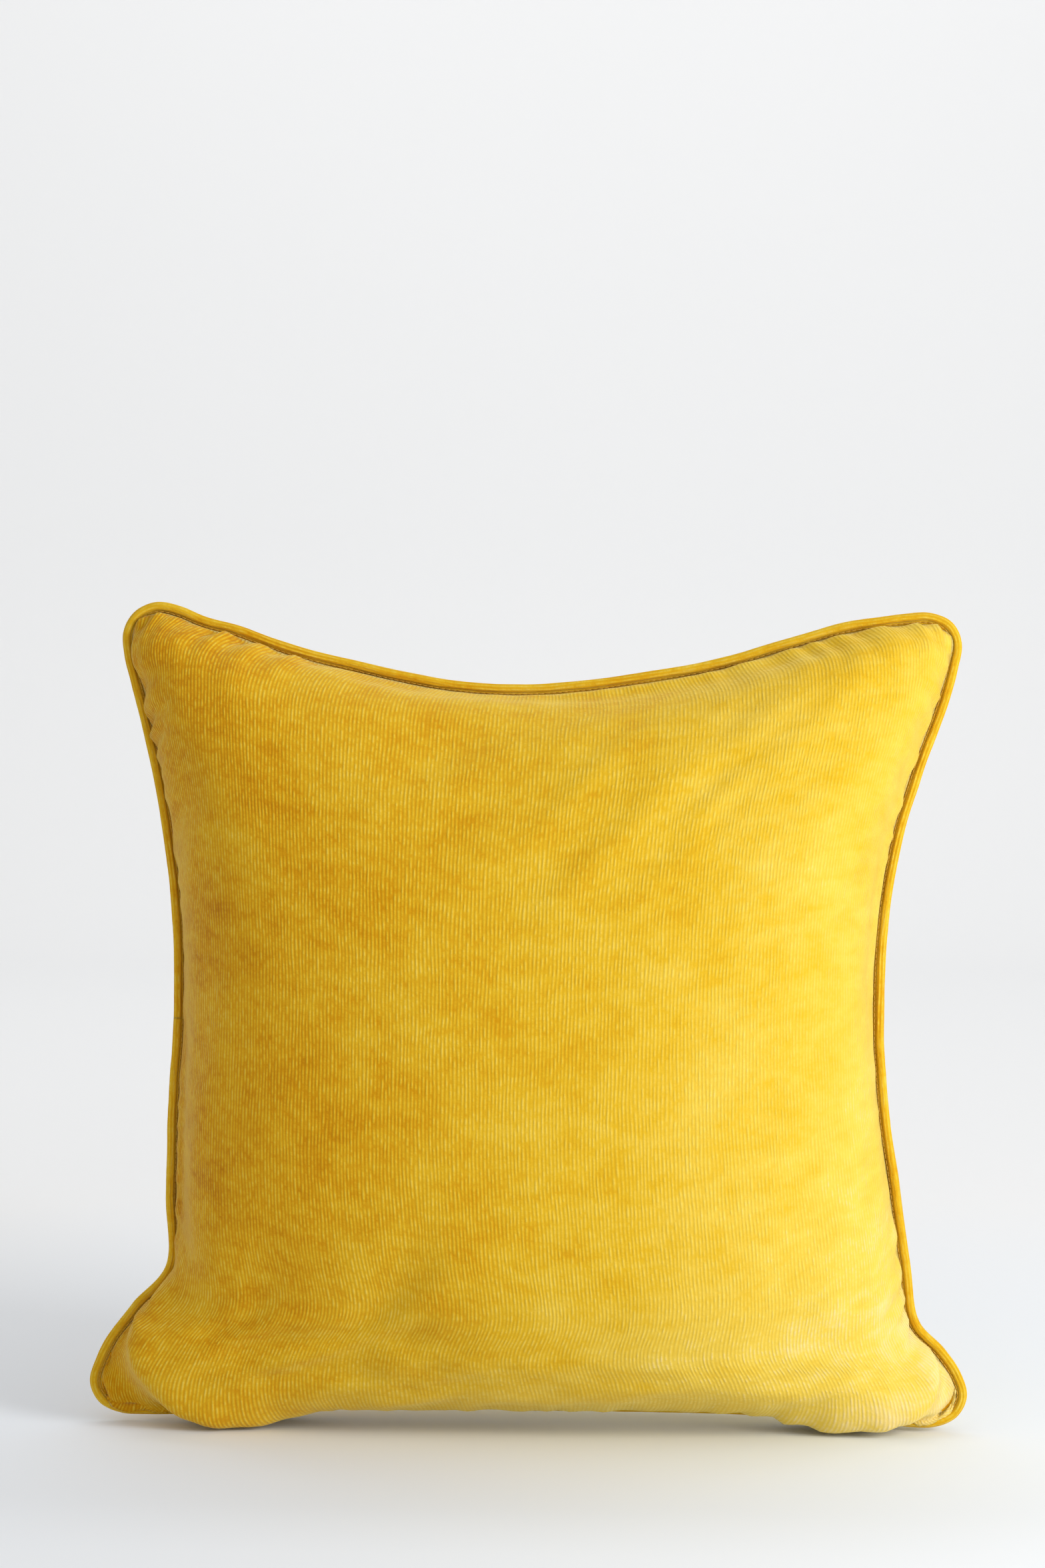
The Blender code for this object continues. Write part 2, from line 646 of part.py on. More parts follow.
def build_slider(plane, x, metal):
    half_l, half_w = SLIDER_LENGTH / 2, SLIDER_WIDTH / 2
    outer_top = CHAIN_DEPTH - COIL_RADIUS - GAP - SLIDER_PLATE
    inner_top = CHAIN_DEPTH + COIL_RADIUS + GAP
    web = COIL_OFFSET - COIL_RADIUS - GAP
    crown_high = PIVOT_DEPTH - CROWN_CLEARANCE
    crown_low = crown_high - SLIDER_PLATE
    bite = SLIDER_PLATE / 2
    union_boxes("zip_slider", [
        (x - half_l, x + half_l, -half_w, half_w, outer_top, outer_top + SLIDER_PLATE),
        (x - half_l, x + half_l, -half_w, half_w, inner_top, inner_top + SLIDER_PLATE),
        (x - WEB_HALF_LENGTH, x + WEB_HALF_LENGTH, -web, web, outer_top + bite,
         inner_top + bite),
        (x - CROWN_HALF_LENGTH, x + CROWN_HALF_LENGTH, -CROWN_HALF_WIDTH, CROWN_HALF_WIDTH,
         crown_low, crown_high),
        (x - CROWN_LEG_OUT, x - CROWN_LEG_IN, -CROWN_LEG_HALF_WIDTH, CROWN_LEG_HALF_WIDTH,
         crown_low + bite, outer_top + bite),
        (x + CROWN_LEG_IN, x + CROWN_LEG_OUT, -CROWN_LEG_HALF_WIDTH, CROWN_LEG_HALF_WIDTH,
         crown_low + bite, outer_top + bite),
    ], plane, metal)


def build_pull(plane, x, metal):
    """A tab with a window; the window's end is the bar that turns in the slider's crown."""
    half_w, half_t = PULL_WIDTH / 2, PULL_THICKNESS / 2
    outer = box_outline(x - PULL_LENGTH, x + half_t, -half_w, half_w)
    inner = box_outline(x - WINDOW_LENGTH, x - half_t, -WINDOW_HALF_WIDTH, WINDOW_HALF_WIDTH)
    verts = [plane.point(a, b, depth) for depth in (PIVOT_DEPTH - half_t, PIVOT_DEPTH + half_t)
             for a, b in outer + inner]
    faces = []
    for k in range(4):
        after = (k + 1) % 4
        faces += [(k, after, 4 + after, 4 + k), (8 + k, 8 + after, 12 + after, 12 + k),
                  (k, after, 8 + after, 8 + k), (4 + k, 4 + after, 12 + after, 12 + k)]
    add_object("zip_pull", verts, faces, metal, smooth=False)


def build_label(back, mat):
    """A folded blank label that lies inside the upper back panel, one cell by two."""
    grid = back.grid
    outer_face = back.face(COVER_THICKNESS + GAP)
    inner_face = back.face(COVER_THICKNESS + GAP + LABEL_THICKNESS)
    columns, rows = (grid.n // 2, grid.n // 2 + 1), (ZIP_ROW + 2, ZIP_ROW + 3, ZIP_ROW + 4)
    verts = [face[i, j] for face in (outer_face, inner_face) for i in columns for j in rows]
    faces = [(0, 1, 4, 3), (1, 2, 5, 4), (6, 9, 10, 7), (7, 10, 11, 8), (0, 3, 9, 6),
             (0, 6, 7, 1), (1, 7, 8, 2), (2, 8, 11, 5), (3, 4, 10, 9), (4, 5, 11, 10)]
    add_object("care_label", verts, faces, mat, smooth=False)


def centre_on_floor():
    """Puts the origin under the middle of the whole object's box."""
    objects = list(bpy.context.scene.collection.objects)
    corners = [v.co for obj in objects for v in obj.data.vertices]
    shift = Vector((-(min(c.x for c in corners) + max(c.x for c in corners)) / 2,
                    -(min(c.y for c in corners) + max(c.y for c in corners)) / 2,
                    -min(c.z for c in corners)))
    for obj in objects:
        for vertex in obj.data.vertices:
            vertex.co += shift
    return shift


def main():
    clear_scene()
    cloth = material("chenille", MUSTARD, 0.9)
    cotton = material("cotton_cord", (0.8, 0.76, 0.66), 0.9)
    thread = material("polyester_thread", (0.60, 0.33, 0.03), 0.6)
    casing = material("nonwoven", (0.85, 0.85, 0.83), 0.9)
    fibre = material("polyester_fibre", (0.92, 0.92, 0.92), 1.0)
    tape = material("zip_tape", (0.62, 0.35, 0.035), 0.8)
    coil = material("zip_coil", (0.66, 0.38, 0.05), 0.45)
    metal = material("zip_metal", (0.62, 0.60, 0.56), 0.35, 1.0)
    satin = material("label_satin", (0.9, 0.9, 0.88), 0.5)

    seam = Seam()
    grid = Grid(seam)
    plane = ZipPlane(grid)
    build_cover(seam, grid, plane, cloth)
    build_piping(seam, grid, cloth, cotton, thread)
    build_pad(seam, grid, plane, casing, fibre, thread)
    back = Layers(seam, grid, plane, 1)
    half = zip_half_length(back)
    build_zip(plane, half, tape, coil, metal)
    slider_x = half - SLIDER_LENGTH / 2 - GAP
    build_slider(plane, slider_x, metal)
    build_pull(plane, slider_x, metal)
    build_label(back, satin)
    shift = centre_on_floor()
    pivot = plane.point(slider_x, 0, PIVOT_DEPTH) + shift
    print("pull pivot", tuple(round(c, 6) for c in pivot), "slide length",
          round(2 * slider_x, 6), "shift", tuple(round(c, 6) for c in shift))


main()
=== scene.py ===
"""The looks of a piped chenille throw pillow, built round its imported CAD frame.

The cover's panels start as a smooth crowned form between the piping's loop and the zip, both read
from the frame. A cloth simulation with the panels' flat square cut as its rest shape then fills
them out and puckers them along the seam. Metres, +Z up, the front faces -Y.
"""
import math

import bmesh
import bpy
import numpy as np
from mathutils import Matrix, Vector, kdtree, noise
from mathutils.bvhtree import BVHTree


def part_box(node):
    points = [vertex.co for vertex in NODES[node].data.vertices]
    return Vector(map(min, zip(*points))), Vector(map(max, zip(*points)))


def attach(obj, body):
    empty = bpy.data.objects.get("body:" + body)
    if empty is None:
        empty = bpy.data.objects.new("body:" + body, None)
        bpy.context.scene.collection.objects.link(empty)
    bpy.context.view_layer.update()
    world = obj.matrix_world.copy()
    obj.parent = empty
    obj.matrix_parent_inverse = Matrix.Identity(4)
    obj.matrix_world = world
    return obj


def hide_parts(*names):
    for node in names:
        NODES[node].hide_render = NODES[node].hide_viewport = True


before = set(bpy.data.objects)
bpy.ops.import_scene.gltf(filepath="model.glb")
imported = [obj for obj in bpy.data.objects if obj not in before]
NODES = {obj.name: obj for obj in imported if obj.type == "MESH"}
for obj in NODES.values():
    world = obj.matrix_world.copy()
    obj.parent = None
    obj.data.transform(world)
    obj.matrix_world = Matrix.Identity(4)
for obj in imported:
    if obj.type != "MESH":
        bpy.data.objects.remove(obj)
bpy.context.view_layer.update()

# ---------------------------------------------------------------- sizes of the real pieces
CUT_SIDE = 0.4500            # the cover's flat side, between the piping's centres
PIPE_RADIUS = 0.0023
CORD_RADIUS = 0.0015
GAP = 0.0003
LEG_OUTER = 0.00075          # outer face of the sleeve's leg, off the seam plane
LEG_LENGTH = 0.0105
PANEL_INSET = 0.0034         # from the piping's centre to the panels' sewn edge
PANEL_OFF = LEG_OUTER + GAP  # and how far that edge is off the seam plane
COVER_THICKNESS = 0.0012
CUT_CORNER = 0.012           # radius of the cut's rounded corners
CUT_STATIONS = 2400
CROWN_POWER = 2.3
CHORD = 0.360                # the stuffed cover's width at its middle
ZIP_FLAT = 0.050             # flat height of the lower back panel
SLOT_HALF_WIDTH = 0.0042
CHAIN_DEPTH = 0.00175        # from the cover's outer face to the zip chain's middle
TAPE_THICKNESS = 0.0005
TAPE_NEAR, TAPE_FAR = 0.00245, 0.01245   # the tape's edges, from the zip's middle line
PAD_DEPTH = 0.0030           # from the cover's outer face to the pad's casing
ZIP_ROOM = 0.0030            # and that much more behind the zip
CASING_THICKNESS = 0.0005
FIBRE_DEPTH = PAD_DEPTH + CASING_THICKNESS + 0.0006
COIL_PITCH = 0.0012
COIL_CENTRE = 0.0011         # from the zip's middle line to the middle of each coil
COIL_REACH, COIL_DEEP = 0.00100, 0.00042   # the coil's half-width and half-depth
COIL_WIRE = 0.00030
PLATE_THICKNESS = 0.0010     # of the slider's two plates
PLATE_DEPTHS = (-0.00035, 0.00285)         # where each of them starts
SLIDER_HALF_LENGTH, SLIDER_HALF_WIDTH = 0.0045, 0.0037
PIVOT_DEPTH = -0.0012        # of the pull's bar
PULL_LENGTH, PULL_HALF_WIDTH, PULL_HALF_THICKNESS = 0.022, 0.0025, 0.00055
LABEL_DEPTHS = (0.0015, 0.0019)            # its faces, in from the cover's outer face
LABEL_FLAT = (0.001, 0.044, -0.126, -0.046)   # where it lies on the flat back panel
STITCH_PITCH = 0.0030
THREAD_RADIUS = 0.00022

HALF = CUT_SIDE / 2
HALF_CUT = HALF - PANEL_INSET
SLOT_CLOSES = 0.0070         # past the slot's end, the length over which it closes
SEAM_SINK = 0.0008           # how deep the closed seam beside the zip lies
FOLD_SINK = 0.0002
PAD_EASE = 0.0025            # the pad is that much slacker than the cover round it
SLOT_ROW = 8                 # the zip's row of the back's grid
BAND_HALF = 0.016            # the cloth lies on the zip's plane this far from its line
BAND_FADES = (0.045, 0.012)  # and leaves it over these lengths, above and below
BAND_END, BAND_END_FADE = 0.171, 0.034   # and the same from the middle along it
EAR_FOOT = 0.095             # the lower end of the fold across an ear, from the corner
NOTCHES = (0.079, 0.046)     # and its upper end, up the left and the right seam
EAR_SPAN = (0.62, 1.12)      # where fullness returns, as shares of the way out to the fold
EAR_FULLNESS = 0.10          # how full the ears are, against a plain crowned form
BELLY_SAG = 0.011            # how far the full lower half hangs
HIP_AT = 1.22                # the bulge just past the fold, as the same share
HIP_SPREAD = 0.24
HIP_PUSH = 0.019
FOOT_LIFT = 0.0012           # the lowest cloth's middle above the floor
PUCKER_DEPTH = 0.0026        # of the gathers along the seam
PUCKER_REACH = 0.022         # how far they run in from it
PUCKER_SPACING = 0.0165
CELLS = 80                   # cells along a side of the simulated panels
SIM_FRAMES = 16
SIM_HOLD = 0.05              # how firmly the panels' middles are held to their start
FOLD_HOLD = 0.9              # and how much more so the folds across the ears
SIM_PRESSURE = 1.5
SIM_EASE = 2                 # passes that soften what the simulation moved


# ---------------------------------------------------------------- small helpers
def smooth_step(value):
    value = np.clip(value, 0.0, 1.0)
    return value * value * (3 - 2 * value)


def unit(vectors):
    return vectors / np.maximum(np.linalg.norm(vectors, axis=-1, keepdims=True), 1e-12)


def run_lengths(line):
    """How far along an open line each of its points lies."""
    return np.concatenate([[0], np.cumsum(np.linalg.norm(np.diff(line, axis=0), axis=1))])


def read_line(want, length, line):
    """Points at the wanted lengths along a line."""
    return np.stack([np.interp(want, length, line[:, k]) for k in range(3)], 1)


def vertices_of(name):
    """A CAD node's corners, each once."""
    found = np.array([v.co for v in NODES[name].data.vertices])
    return np.unique(np.round(found, 6), axis=0)


def mesh_object(name, verts, faces, mat, uvs=None, smooth=True):
    """A mesh object. uvs gives one flat position for each vertex, in metres."""
    mesh = bpy.data.meshes.new(name)
    mesh.from_pydata([tuple(v) for v in verts], [], [tuple(int(i) for i in f) for f in faces])
    if uvs is not None:
        layer = mesh.uv_layers.new(name="cloth")
        corner_verts = np.zeros(len(mesh.loops), int)
        mesh.loops.foreach_get("vertex_index", corner_verts)
        layer.data.foreach_set("uv", np.asarray(uvs, np.float32)[corner_verts].ravel())
    if smooth:
        mesh.shade_smooth()
    mesh.materials.append(mat)
    obj = bpy.data.objects.new(name, mesh)
    bpy.context.scene.collection.objects.link(obj)
    return obj


def settle(obj, slot, *nodes, body="pillow"):
    """Puts a finished piece on its body and hides the frame's parts that it stands for."""
    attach(obj, body)
    if nodes:
        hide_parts(*nodes)
    return obj


# ---------------------------------------------------------------- the seam's loop
def section_centres(name):
    """The centres of a swept ring's sections, in order round the pillow."""
    points = vertices_of(name)
    tree = kdtree.KDTree(len(points))
    for k, point in enumerate(points):
        tree.insert(point, k)
    tree.balance()
    left, centres = set(range(len(points))), []
    while left:
        group, edge = set(), [left.pop()]
        while edge:
            k = edge.pop()
            group.add(k)
            near = {n for _, n, _ in tree.find_range(points[k], CORD_RADIUS * 1.4)}
            edge += list(near & left)
            left -= near
        centres.append(points[sorted(group)].mean(0))
    centres = np.array(centres)
    middle = (centres.min(0) + centres.max(0)) / 2
    order = np.argsort(np.arctan2(centres[:, 2] - middle[2], centres[:, 0] - middle[0]))
    return centres[order]


def smooth_loop(stations, spacing):
    """A closed spline through the stations, in even steps, and its total length."""
    count, steps = len(stations), 24
    t = (np.arange(steps) / steps)[:, None]
    dense = []
    for k in range(count):
        a, b, c, d = (stations[(k + i) % count] for i in (-1, 0, 1, 2))
        dense.append(0.5 * (2 * b + (c - a) * t + (2 * a - 5 * b + 4 * c - d) * t * t
                            + (3 * b - a - 3 * c + d) * t ** 3))
    dense = np.concatenate(dense)
    closed = np.vstack([dense, dense[:1]])
    length = run_lengths(closed)
    samples = int(round(length[-1] / spacing))
    want = np.arange(samples) * length[-1] / samples
    return read_line(want, length, closed), length[-1]


class Loop:
    """A closed line in even steps, with its inward directions and its four corners."""

    def __init__(self, points, length, reach):
        self.points, self.length = points, length
        self.count = len(points)
        self.step = length / self.count
        along = np.roll(points, -reach, 0) - np.roll(points, reach, 0)
        self.inward = unit(np.stack([-along[:, 2], 0 * along[:, 0], along[:, 0]], 1))
        x, z = points[:, 0], points[:, 2]
        # bottom left, bottom right, top right, top left
        self.corners = [int(np.argmax(sx * x + sz * z))
                        for sx, sz in ((-1, -1), (1, -1), (1, 1), (-1, 1))]

    def read(self, values, index):
        index = np.asarray(index) % self.count
        low = index.astype(int)
        part = (index - low)[..., None]
        return values[low] * (1 - part) + values[(low + 1) % self.count] * part

    def at(self, index, inset, off=0.0):
        moved = self.read(self.points, index) + self.read(self.inward, index) * inset
        moved[..., 1] += off
        return moved

    def side(self, k, shares):
        """Indices of stations at shares of the way along side k, corner to corner."""
        first = self.corners[k]
        span = (self.corners[(k + 1) % 4] - first) % self.count
        return first + np.asarray(shares) * span


def cut_loop():
    """The flat cut's outline: a square with rounded corners."""
    straight, r = HALF_CUT - CUT_CORNER, CUT_CORNER
    points = []
    for k in range(4):
        turn = np.linspace(0, math.pi / 2, 13) - math.pi / 2 + k * math.pi / 2
        cx, cz = [(1, -1), (1, 1), (-1, 1), (-1, -1)][k]
        for angle in turn:
            points.append((cx * straight + r * math.cos(angle), 0,
                           cz * straight + r * math.sin(angle)))
    closed = np.array(points + points[:1])
    length = run_lengths(closed)
    want = np.arange(CUT_STATIONS) * length[-1] / CUT_STATIONS
    return Loop(read_line(want, length, closed), length[-1], 3)


def coons(low, high, west, east, s, t):
    """A patch between four curves of shape (n, 3); s and t are arrays of shares (n, n)."""
    n = len(low)
    place = np.arange(n)

    def along(curve, share):
        return np.stack([np.interp(share * (n - 1), place, curve[:, k]) for k in range(3)], -1)

    s3, t3 = s[..., None], t[..., None]
    corners = ((low[0] * (1 - s3) + low[-1] * s3) * (1 - t3)
               + (high[0] * (1 - s3) + high[-1] * s3) * t3)
    return (along(low, s) * (1 - t3) + along(high, s) * t3
            + along(west, t) * (1 - s3) + along(east, t) * s3 - corners)


# ---------------------------------------------------------------- the cover's form
def flat_lines(with_zip):
    """Flat positions of the grid's lines, corner to corner; rows fall on the slot's edges."""
    if not with_zip:
        return np.linspace(-HALF_CUT, HALF_CUT, CELLS + 1)
    zip_at = ZIP_FLAT - HALF
    below = np.linspace(-HALF_CUT, zip_at - 2 * SLOT_HALF_WIDTH, SLOT_ROW)
    above = np.linspace(zip_at + 2 * SLOT_HALF_WIDTH, HALF_CUT, CELLS - SLOT_ROW)
    return np.concatenate([below, [zip_at], above])


class ZipPlane:
    """The zip's plane, read from its coils in the frame."""

    def __init__(self):
        upper, lower = (vertices_of(f"zip_coil_{side}") for side in ("upper", "lower"))
        middles = [v.mean(0) for v in (upper, lower)]
        self.across = unit(middles[0] - middles[1])
        self.inward = np.cross((1.0, 0.0, 0.0), self.across)
        self.origin = (middles[0] + middles[1]) / 2 - self.inward * CHAIN_DEPTH
        self.origin[0] = 0.0
        self.half = float(np.ptp(upper[:, 0])) / 2

    def point(self, x, up, depth=0.0):
        x, up, depth = np.broadcast_arrays(np.asarray(x, float), up, depth)
        return (self.origin + np.stack([x, 0 * x, 0 * x], -1) + up[..., None] * self.across
                + depth[..., None] * self.inward)


def even_shares(flat, depth, chord):
    """Shares across a chord whose crowned profile has the flat lines' even spacing."""
    xi = np.linspace(-1, 1, 401)
    crown = depth * np.sqrt(np.clip(1 - np.abs(xi) ** CROWN_POWER, 0, None))
    steps = np.hypot(np.diff(xi) * chord / 2, np.diff(crown))
    length = np.concatenate([[0], np.cumsum(steps)])
    want = (flat + HALF_CUT) / (2 * HALF_CUT) * length[-1]
    return np.interp(want, length, xi)


class Panel:
    """One face of the cover on its grid: where it starts, and how it is cut flat."""

    def __init__(self, seam, cut, side):
        self.side = side                                  # -1 front, +1 back
        self.u = flat_lines(False)
        self.v = flat_lines(side > 0)
        shares_u = (self.u + HALF_CUT) / (2 * HALF_CUT)
        shares_v = (self.v + HALF_CUT) / (2 * HALF_CUT)
        self.rim = [seam.side(0, shares_u), seam.side(1, shares_v),
                    seam.side(2, 1 - shares_u), seam.side(3, 1 - shares_v)]
        curves = [seam.at(index, PANEL_INSET, side * PANEL_OFF) for index in self.rim]
        flat = [cut.at(cut.side(k, shares), 0.0)
                for k, shares in enumerate((shares_u, shares_v, 1 - shares_u, 1 - shares_v))]
        s, t = np.meshgrid(shares_u, shares_v, indexing="ij")
        self.flat = coons(flat[0], flat[2], flat[3], flat[1], s, t)
        crown = abs(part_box("front_panel" if side < 0 else "back_panel_upper")[side > 0][1])
        xi = np.zeros_like(s)
        zeta = np.zeros_like(s)
        for j, v in enumerate(self.v):
            depth = crown * math.sqrt(max(1 - abs(v / HALF_CUT) ** CROWN_POWER, 0))
            xi[:, j] = even_shares(self.u, depth, CHORD)
        for i, u in enumerate(self.u):
            depth = crown * math.sqrt(max(1 - abs(u / HALF_CUT) ** CROWN_POWER, 0))
            zeta[i, :] = even_shares(self.v, depth, CHORD)
        mid = coons(curves[0], curves[2], curves[3], curves[1],
                    (xi + 1) / 2, (zeta + 1) / 2)
        fullness = np.sqrt(np.clip(1 - np.abs(xi) ** CROWN_POWER, 0, None)
                           * np.clip(1 - np.abs(zeta) ** CROWN_POWER, 0, None))
        self.points = mid.copy()
        u, v = np.meshgrid(self.u, self.v, indexing="ij")
        notch = np.where(u < 0, *NOTCHES)
        to_fold = (HALF - np.abs(u)) / EAR_FOOT + (HALF + np.minimum(v, 0)) / notch
        lower = smooth_step(-v / 0.06)
        valley = 1 - smooth_step((to_fold - EAR_SPAN[0]) / (EAR_SPAN[1] - EAR_SPAN[0]))
        ear = 1 - (1 - EAR_FULLNESS) * valley * lower
        self.points[..., 1] = mid[..., 1] + side * (crown - 0.001) * fullness * ear
        if side < 0:
            self.points[..., 2] -= BELLY_SAG * fullness * smooth_step(-(v - 0.02) / 0.13)
        hip = np.exp(-((to_fold - HIP_AT) / HIP_SPREAD) ** 2) * lower
        hip *= smooth_step(fullness / 0.30)
        self.fold = lower * np.maximum(np.exp(-((to_fold - 1) / HIP_SPREAD) ** 2),
                                       0.9 * smooth_step(1.5 - to_fold))
        a, b = HALF - np.abs(u), HALF + np.minimum(v, 0)
        sideways = b / np.maximum(a + b, 1e-6)
        self.points[..., 0] += HIP_PUSH * hip * sideways ** 2 * np.sign(u)
        self.points[..., 2] -= HIP_PUSH * hip * (1 - sideways) * 0.6
        self.points[..., 1] += side * HIP_PUSH * hip * 0.10
        self.points[..., 2] = np.maximum(self.points[..., 2], 0.0012)
        self.zip_weight = np.zeros_like(s)
        if side > 0:
            self.lay_zip_band()

    def lay_zip_band(self):
        """Lays the cloth round the zip flat on its plane."""
        plane = ZipPlane()
        above = self.v[None, :] + HALF - ZIP_FLAT + 0 * self.u[:, None]
        fade = np.where(above > 0, *BAND_FADES)
        near = 1 - smooth_step((np.abs(above) - BAND_HALF) / fade)
        inside = 1 - smooth_step((np.abs(self.points[..., 0]) - BAND_END) / BAND_END_FADE)
        self.zip_weight = near * inside
        planar = plane.point(self.points[..., 0], above)
        weight = self.zip_weight[..., None]
        self.points = self.points * (1 - weight) + planar * weight


def build_base():
    seam_points, length = smooth_loop(section_centres("piping_cord"), 0.0008)
    seam = Loop(seam_points, length, 4)
    cut = cut_loop()
    return seam, cut, Panel(seam, cut, -1), Panel(seam, cut, 1)


def grid_faces(rows, columns, flip=False):
    """Quads of a grid whose vertex (i, j) has the index i * columns + j."""
    i, j = np.meshgrid(np.arange(rows - 1), np.arange(columns - 1), indexing="ij")
    a = (i * columns + j).ravel()
    quads = np.stack([a, a + columns, a + columns + 1, a + 1], 1)
    return quads[:, ::-1] if flip else quads


def upsample(grid):
    """The grid with a smooth new line between each two, both ways."""
    for axis in (0, 1):
        g = np.moveaxis(grid, axis, 0)
        first, last = 2 * g[:1] - g[1:2], 2 * g[-1:] - g[-2:-1]
        p = np.concatenate([first, g, last])
        middle = (9 * (p[1:-2] + p[2:-1]) - p[:-3] - p[3:]) / 16
        fine = np.empty((2 * len(g) - 1,) + g.shape[1:])
        fine[::2], fine[1::2] = g, middle
        grid = np.moveaxis(fine, 0, axis)
    return grid


def grid_normals(points, side):
    """Outward unit normals of a grid of points, side -1 for the front."""
    normal = np.cross(np.gradient(points, axis=0), np.gradient(points, axis=1))
    return unit(normal) * -side


def rim_inward(points):
    """Directions in the seam's plane, in from the rim of a grid, as (indices, directions)."""
    ring = rim_indices(len(points))
    line = points.reshape(-1, 3)[ring]
    along = np.roll(line, -1, 0) - np.roll(line, 1, 0)
    return ring, unit(np.stack([-along[:, 2], 0 * along[:, 0], along[:, 0]], 1))


def shell_object(name, outer, inner, faces, mat, uvs):
    """A closed sheet of cloth: two layers of one grid, walled round their open edges."""
    used, faces = np.unique(faces, return_inverse=True)
    faces = faces.reshape(-1, 4)
    outer, inner, uvs = (a.reshape(-1, a.shape[-1])[used] for a in (outer, inner, uvs))
    count = len(outer)
    edges = np.concatenate([faces[:, [k, (k + 1) % 4]] for k in range(4)])
    once = {}
    for a, b in edges.tolist():
        key = (a, b) if a < b else (b, a)
        once[key] = None if key in once else (a, b)
    walls = np.array([(b, a, a + count, b + count) for a, b in filter(None, once.values())])
    all_faces = np.concatenate([faces, faces[:, ::-1] + count, walls])
    return mesh_object(name, np.concatenate([outer, inner]), all_faces, mat,
                       np.concatenate([uvs, uvs]))


def swept(name, path, profile, mat, closed=True, frames=None, uv_step=None):
    """A closed profile carried along a path. profile is (m, 2) or (n, m, 2) offsets along the
    two directions in frames."""
    n = len(path)
    profile = np.broadcast_to(profile, (n,) + np.shape(profile)[-2:])
    m = profile.shape[1]
    first, second = frames
    verts = (path[:, None] + profile[..., :1] * first[:, None]
             + profile[..., 1:] * second[:, None]).reshape(-1, 3)
    rows = n if closed else n - 1
    i, j = np.meshgrid(np.arange(rows), np.arange(m), indexing="ij")
    i2, j2 = (i + 1) % n, (j + 1) % m
    faces = np.stack([i * m + j, i2 * m + j, i2 * m + j2, i * m + j2], -1).reshape(-1, 4)
    faces = faces.tolist()
    if not closed:
        faces += [list(range(m)), [(n - 1) * m + k for k in reversed(range(m))]]
    step = np.linalg.norm(np.diff(path, axis=0), axis=1).mean() if uv_step is None else uv_step
    around = np.linalg.norm(np.diff(profile[0], axis=0, append=profile[0][:1]), axis=1).cumsum()
    uvs = np.stack(np.meshgrid(around, np.arange(n) * step), -1).reshape(-1, 2)
    return mesh_object(name, verts, faces, mat, uvs)


# ---------------------------------------------------------------- the cloth simulation
def rim_indices(n):
    """Grid indices round the rim, anticlockwise from the first corner."""
    last = n - 1
    ring = ([(i, 0) for i in range(last)] + [(last, j) for j in range(last)]
            + [(last - i, last) for i in range(last)] + [(0, last - j) for j in range(last)])
    return np.array([i * n + j for i, j in ring])


def hold_weights(panel):
    """How firmly the simulation holds each point where it starts: 1 along seam and zip."""
    hold = SIM_HOLD + FOLD_HOLD * panel.fold
    hold[0, :] = hold[-1, :] = hold[:, 0] = hold[:, -1] = 1.0
    if panel.side > 0:
        hold = np.maximum(hold, panel.zip_weight)
    return hold


def simulate(front, back):
    """Inflates the closed cover and lets it settle on the floor; moves both panels' points."""
    n = CELLS + 1
    rim = rim_indices(n)
    count = n * n
    verts = np.concatenate([front.points.reshape(-1, 3), back.points.reshape(-1, 3)])
    flat = np.concatenate([front.flat.reshape(-1, 3), back.flat.reshape(-1, 3)])
    flat[:count, 1], flat[count:, 1] = -PANEL_OFF, PANEL_OFF
    after = np.roll(rim, -1)
    strip = np.stack([rim, rim + count, after + count, after], 1)
    faces = np.concatenate([grid_faces(n, n), grid_faces(n, n, True) + count, strip])
    mat = bpy.data.materials.new("simulated")
    obj = mesh_object("simulated_cover", verts, faces, mat)
    hold = np.concatenate([hold_weights(front).ravel(), hold_weights(back).ravel()])
    group = obj.vertex_groups.new(name="hold")
    for k, weight in enumerate(hold):
        group.add([k], float(weight), "REPLACE")
    obj.shape_key_add(name="start")
    key = obj.shape_key_add(name="cut")
    key.data.foreach_set("co", flat.ravel())
    key.value = 0.0

    floor = mesh_object("simulated_floor", [(-1, -1, 0), (1, -1, 0), (1, 1, 0), (-1, 1, 0)],
                        [(0, 1, 2, 3)], mat)
    floor.modifiers.new("collision", "COLLISION")
    floor.collision.thickness_outer = 0.001
    floor.collision.cloth_friction = 20

    cloth = obj.modifiers.new("cloth", "CLOTH")
    settings = cloth.settings
    settings.quality = 4
    settings.mass = 0.02
    settings.tension_stiffness = settings.compression_stiffness = 12
    settings.shear_stiffness = 3
    settings.bending_stiffness = 0.6
    settings.air_damping = 2
    settings.vertex_group_mass = "hold"
    settings.pin_stiffness = 1.0
    settings.rest_shape_key = key
    settings.use_pressure = True
    settings.uniform_pressure_force = SIM_PRESSURE
    settings.effector_weights.gravity = 0.4
    cloth.collision_settings.distance_min = 0.001
    cloth.collision_settings.use_self_collision = True
    cloth.collision_settings.self_distance_min = 0.0025
    scene = bpy.context.scene
    cloth.point_cache.frame_end = SIM_FRAMES
    for step in range(1, SIM_FRAMES + 1):
        scene.frame_set(step)
    depsgraph = bpy.context.evaluated_depsgraph_get()
    moved = np.zeros(len(verts) * 3)
    obj.evaluated_get(depsgraph).data.vertices.foreach_get("co", moved)
    moved = moved.reshape(-1, 3)
    for made in (obj, floor):
        bpy.data.objects.remove(made, do_unlink=True)
    scene.frame_set(1)
    for panel, found in ((front, moved[:count]), (back, moved[count:])):
        panel.points = panel.points + eased(found.reshape(n, n, 3) - panel.points, SIM_EASE)


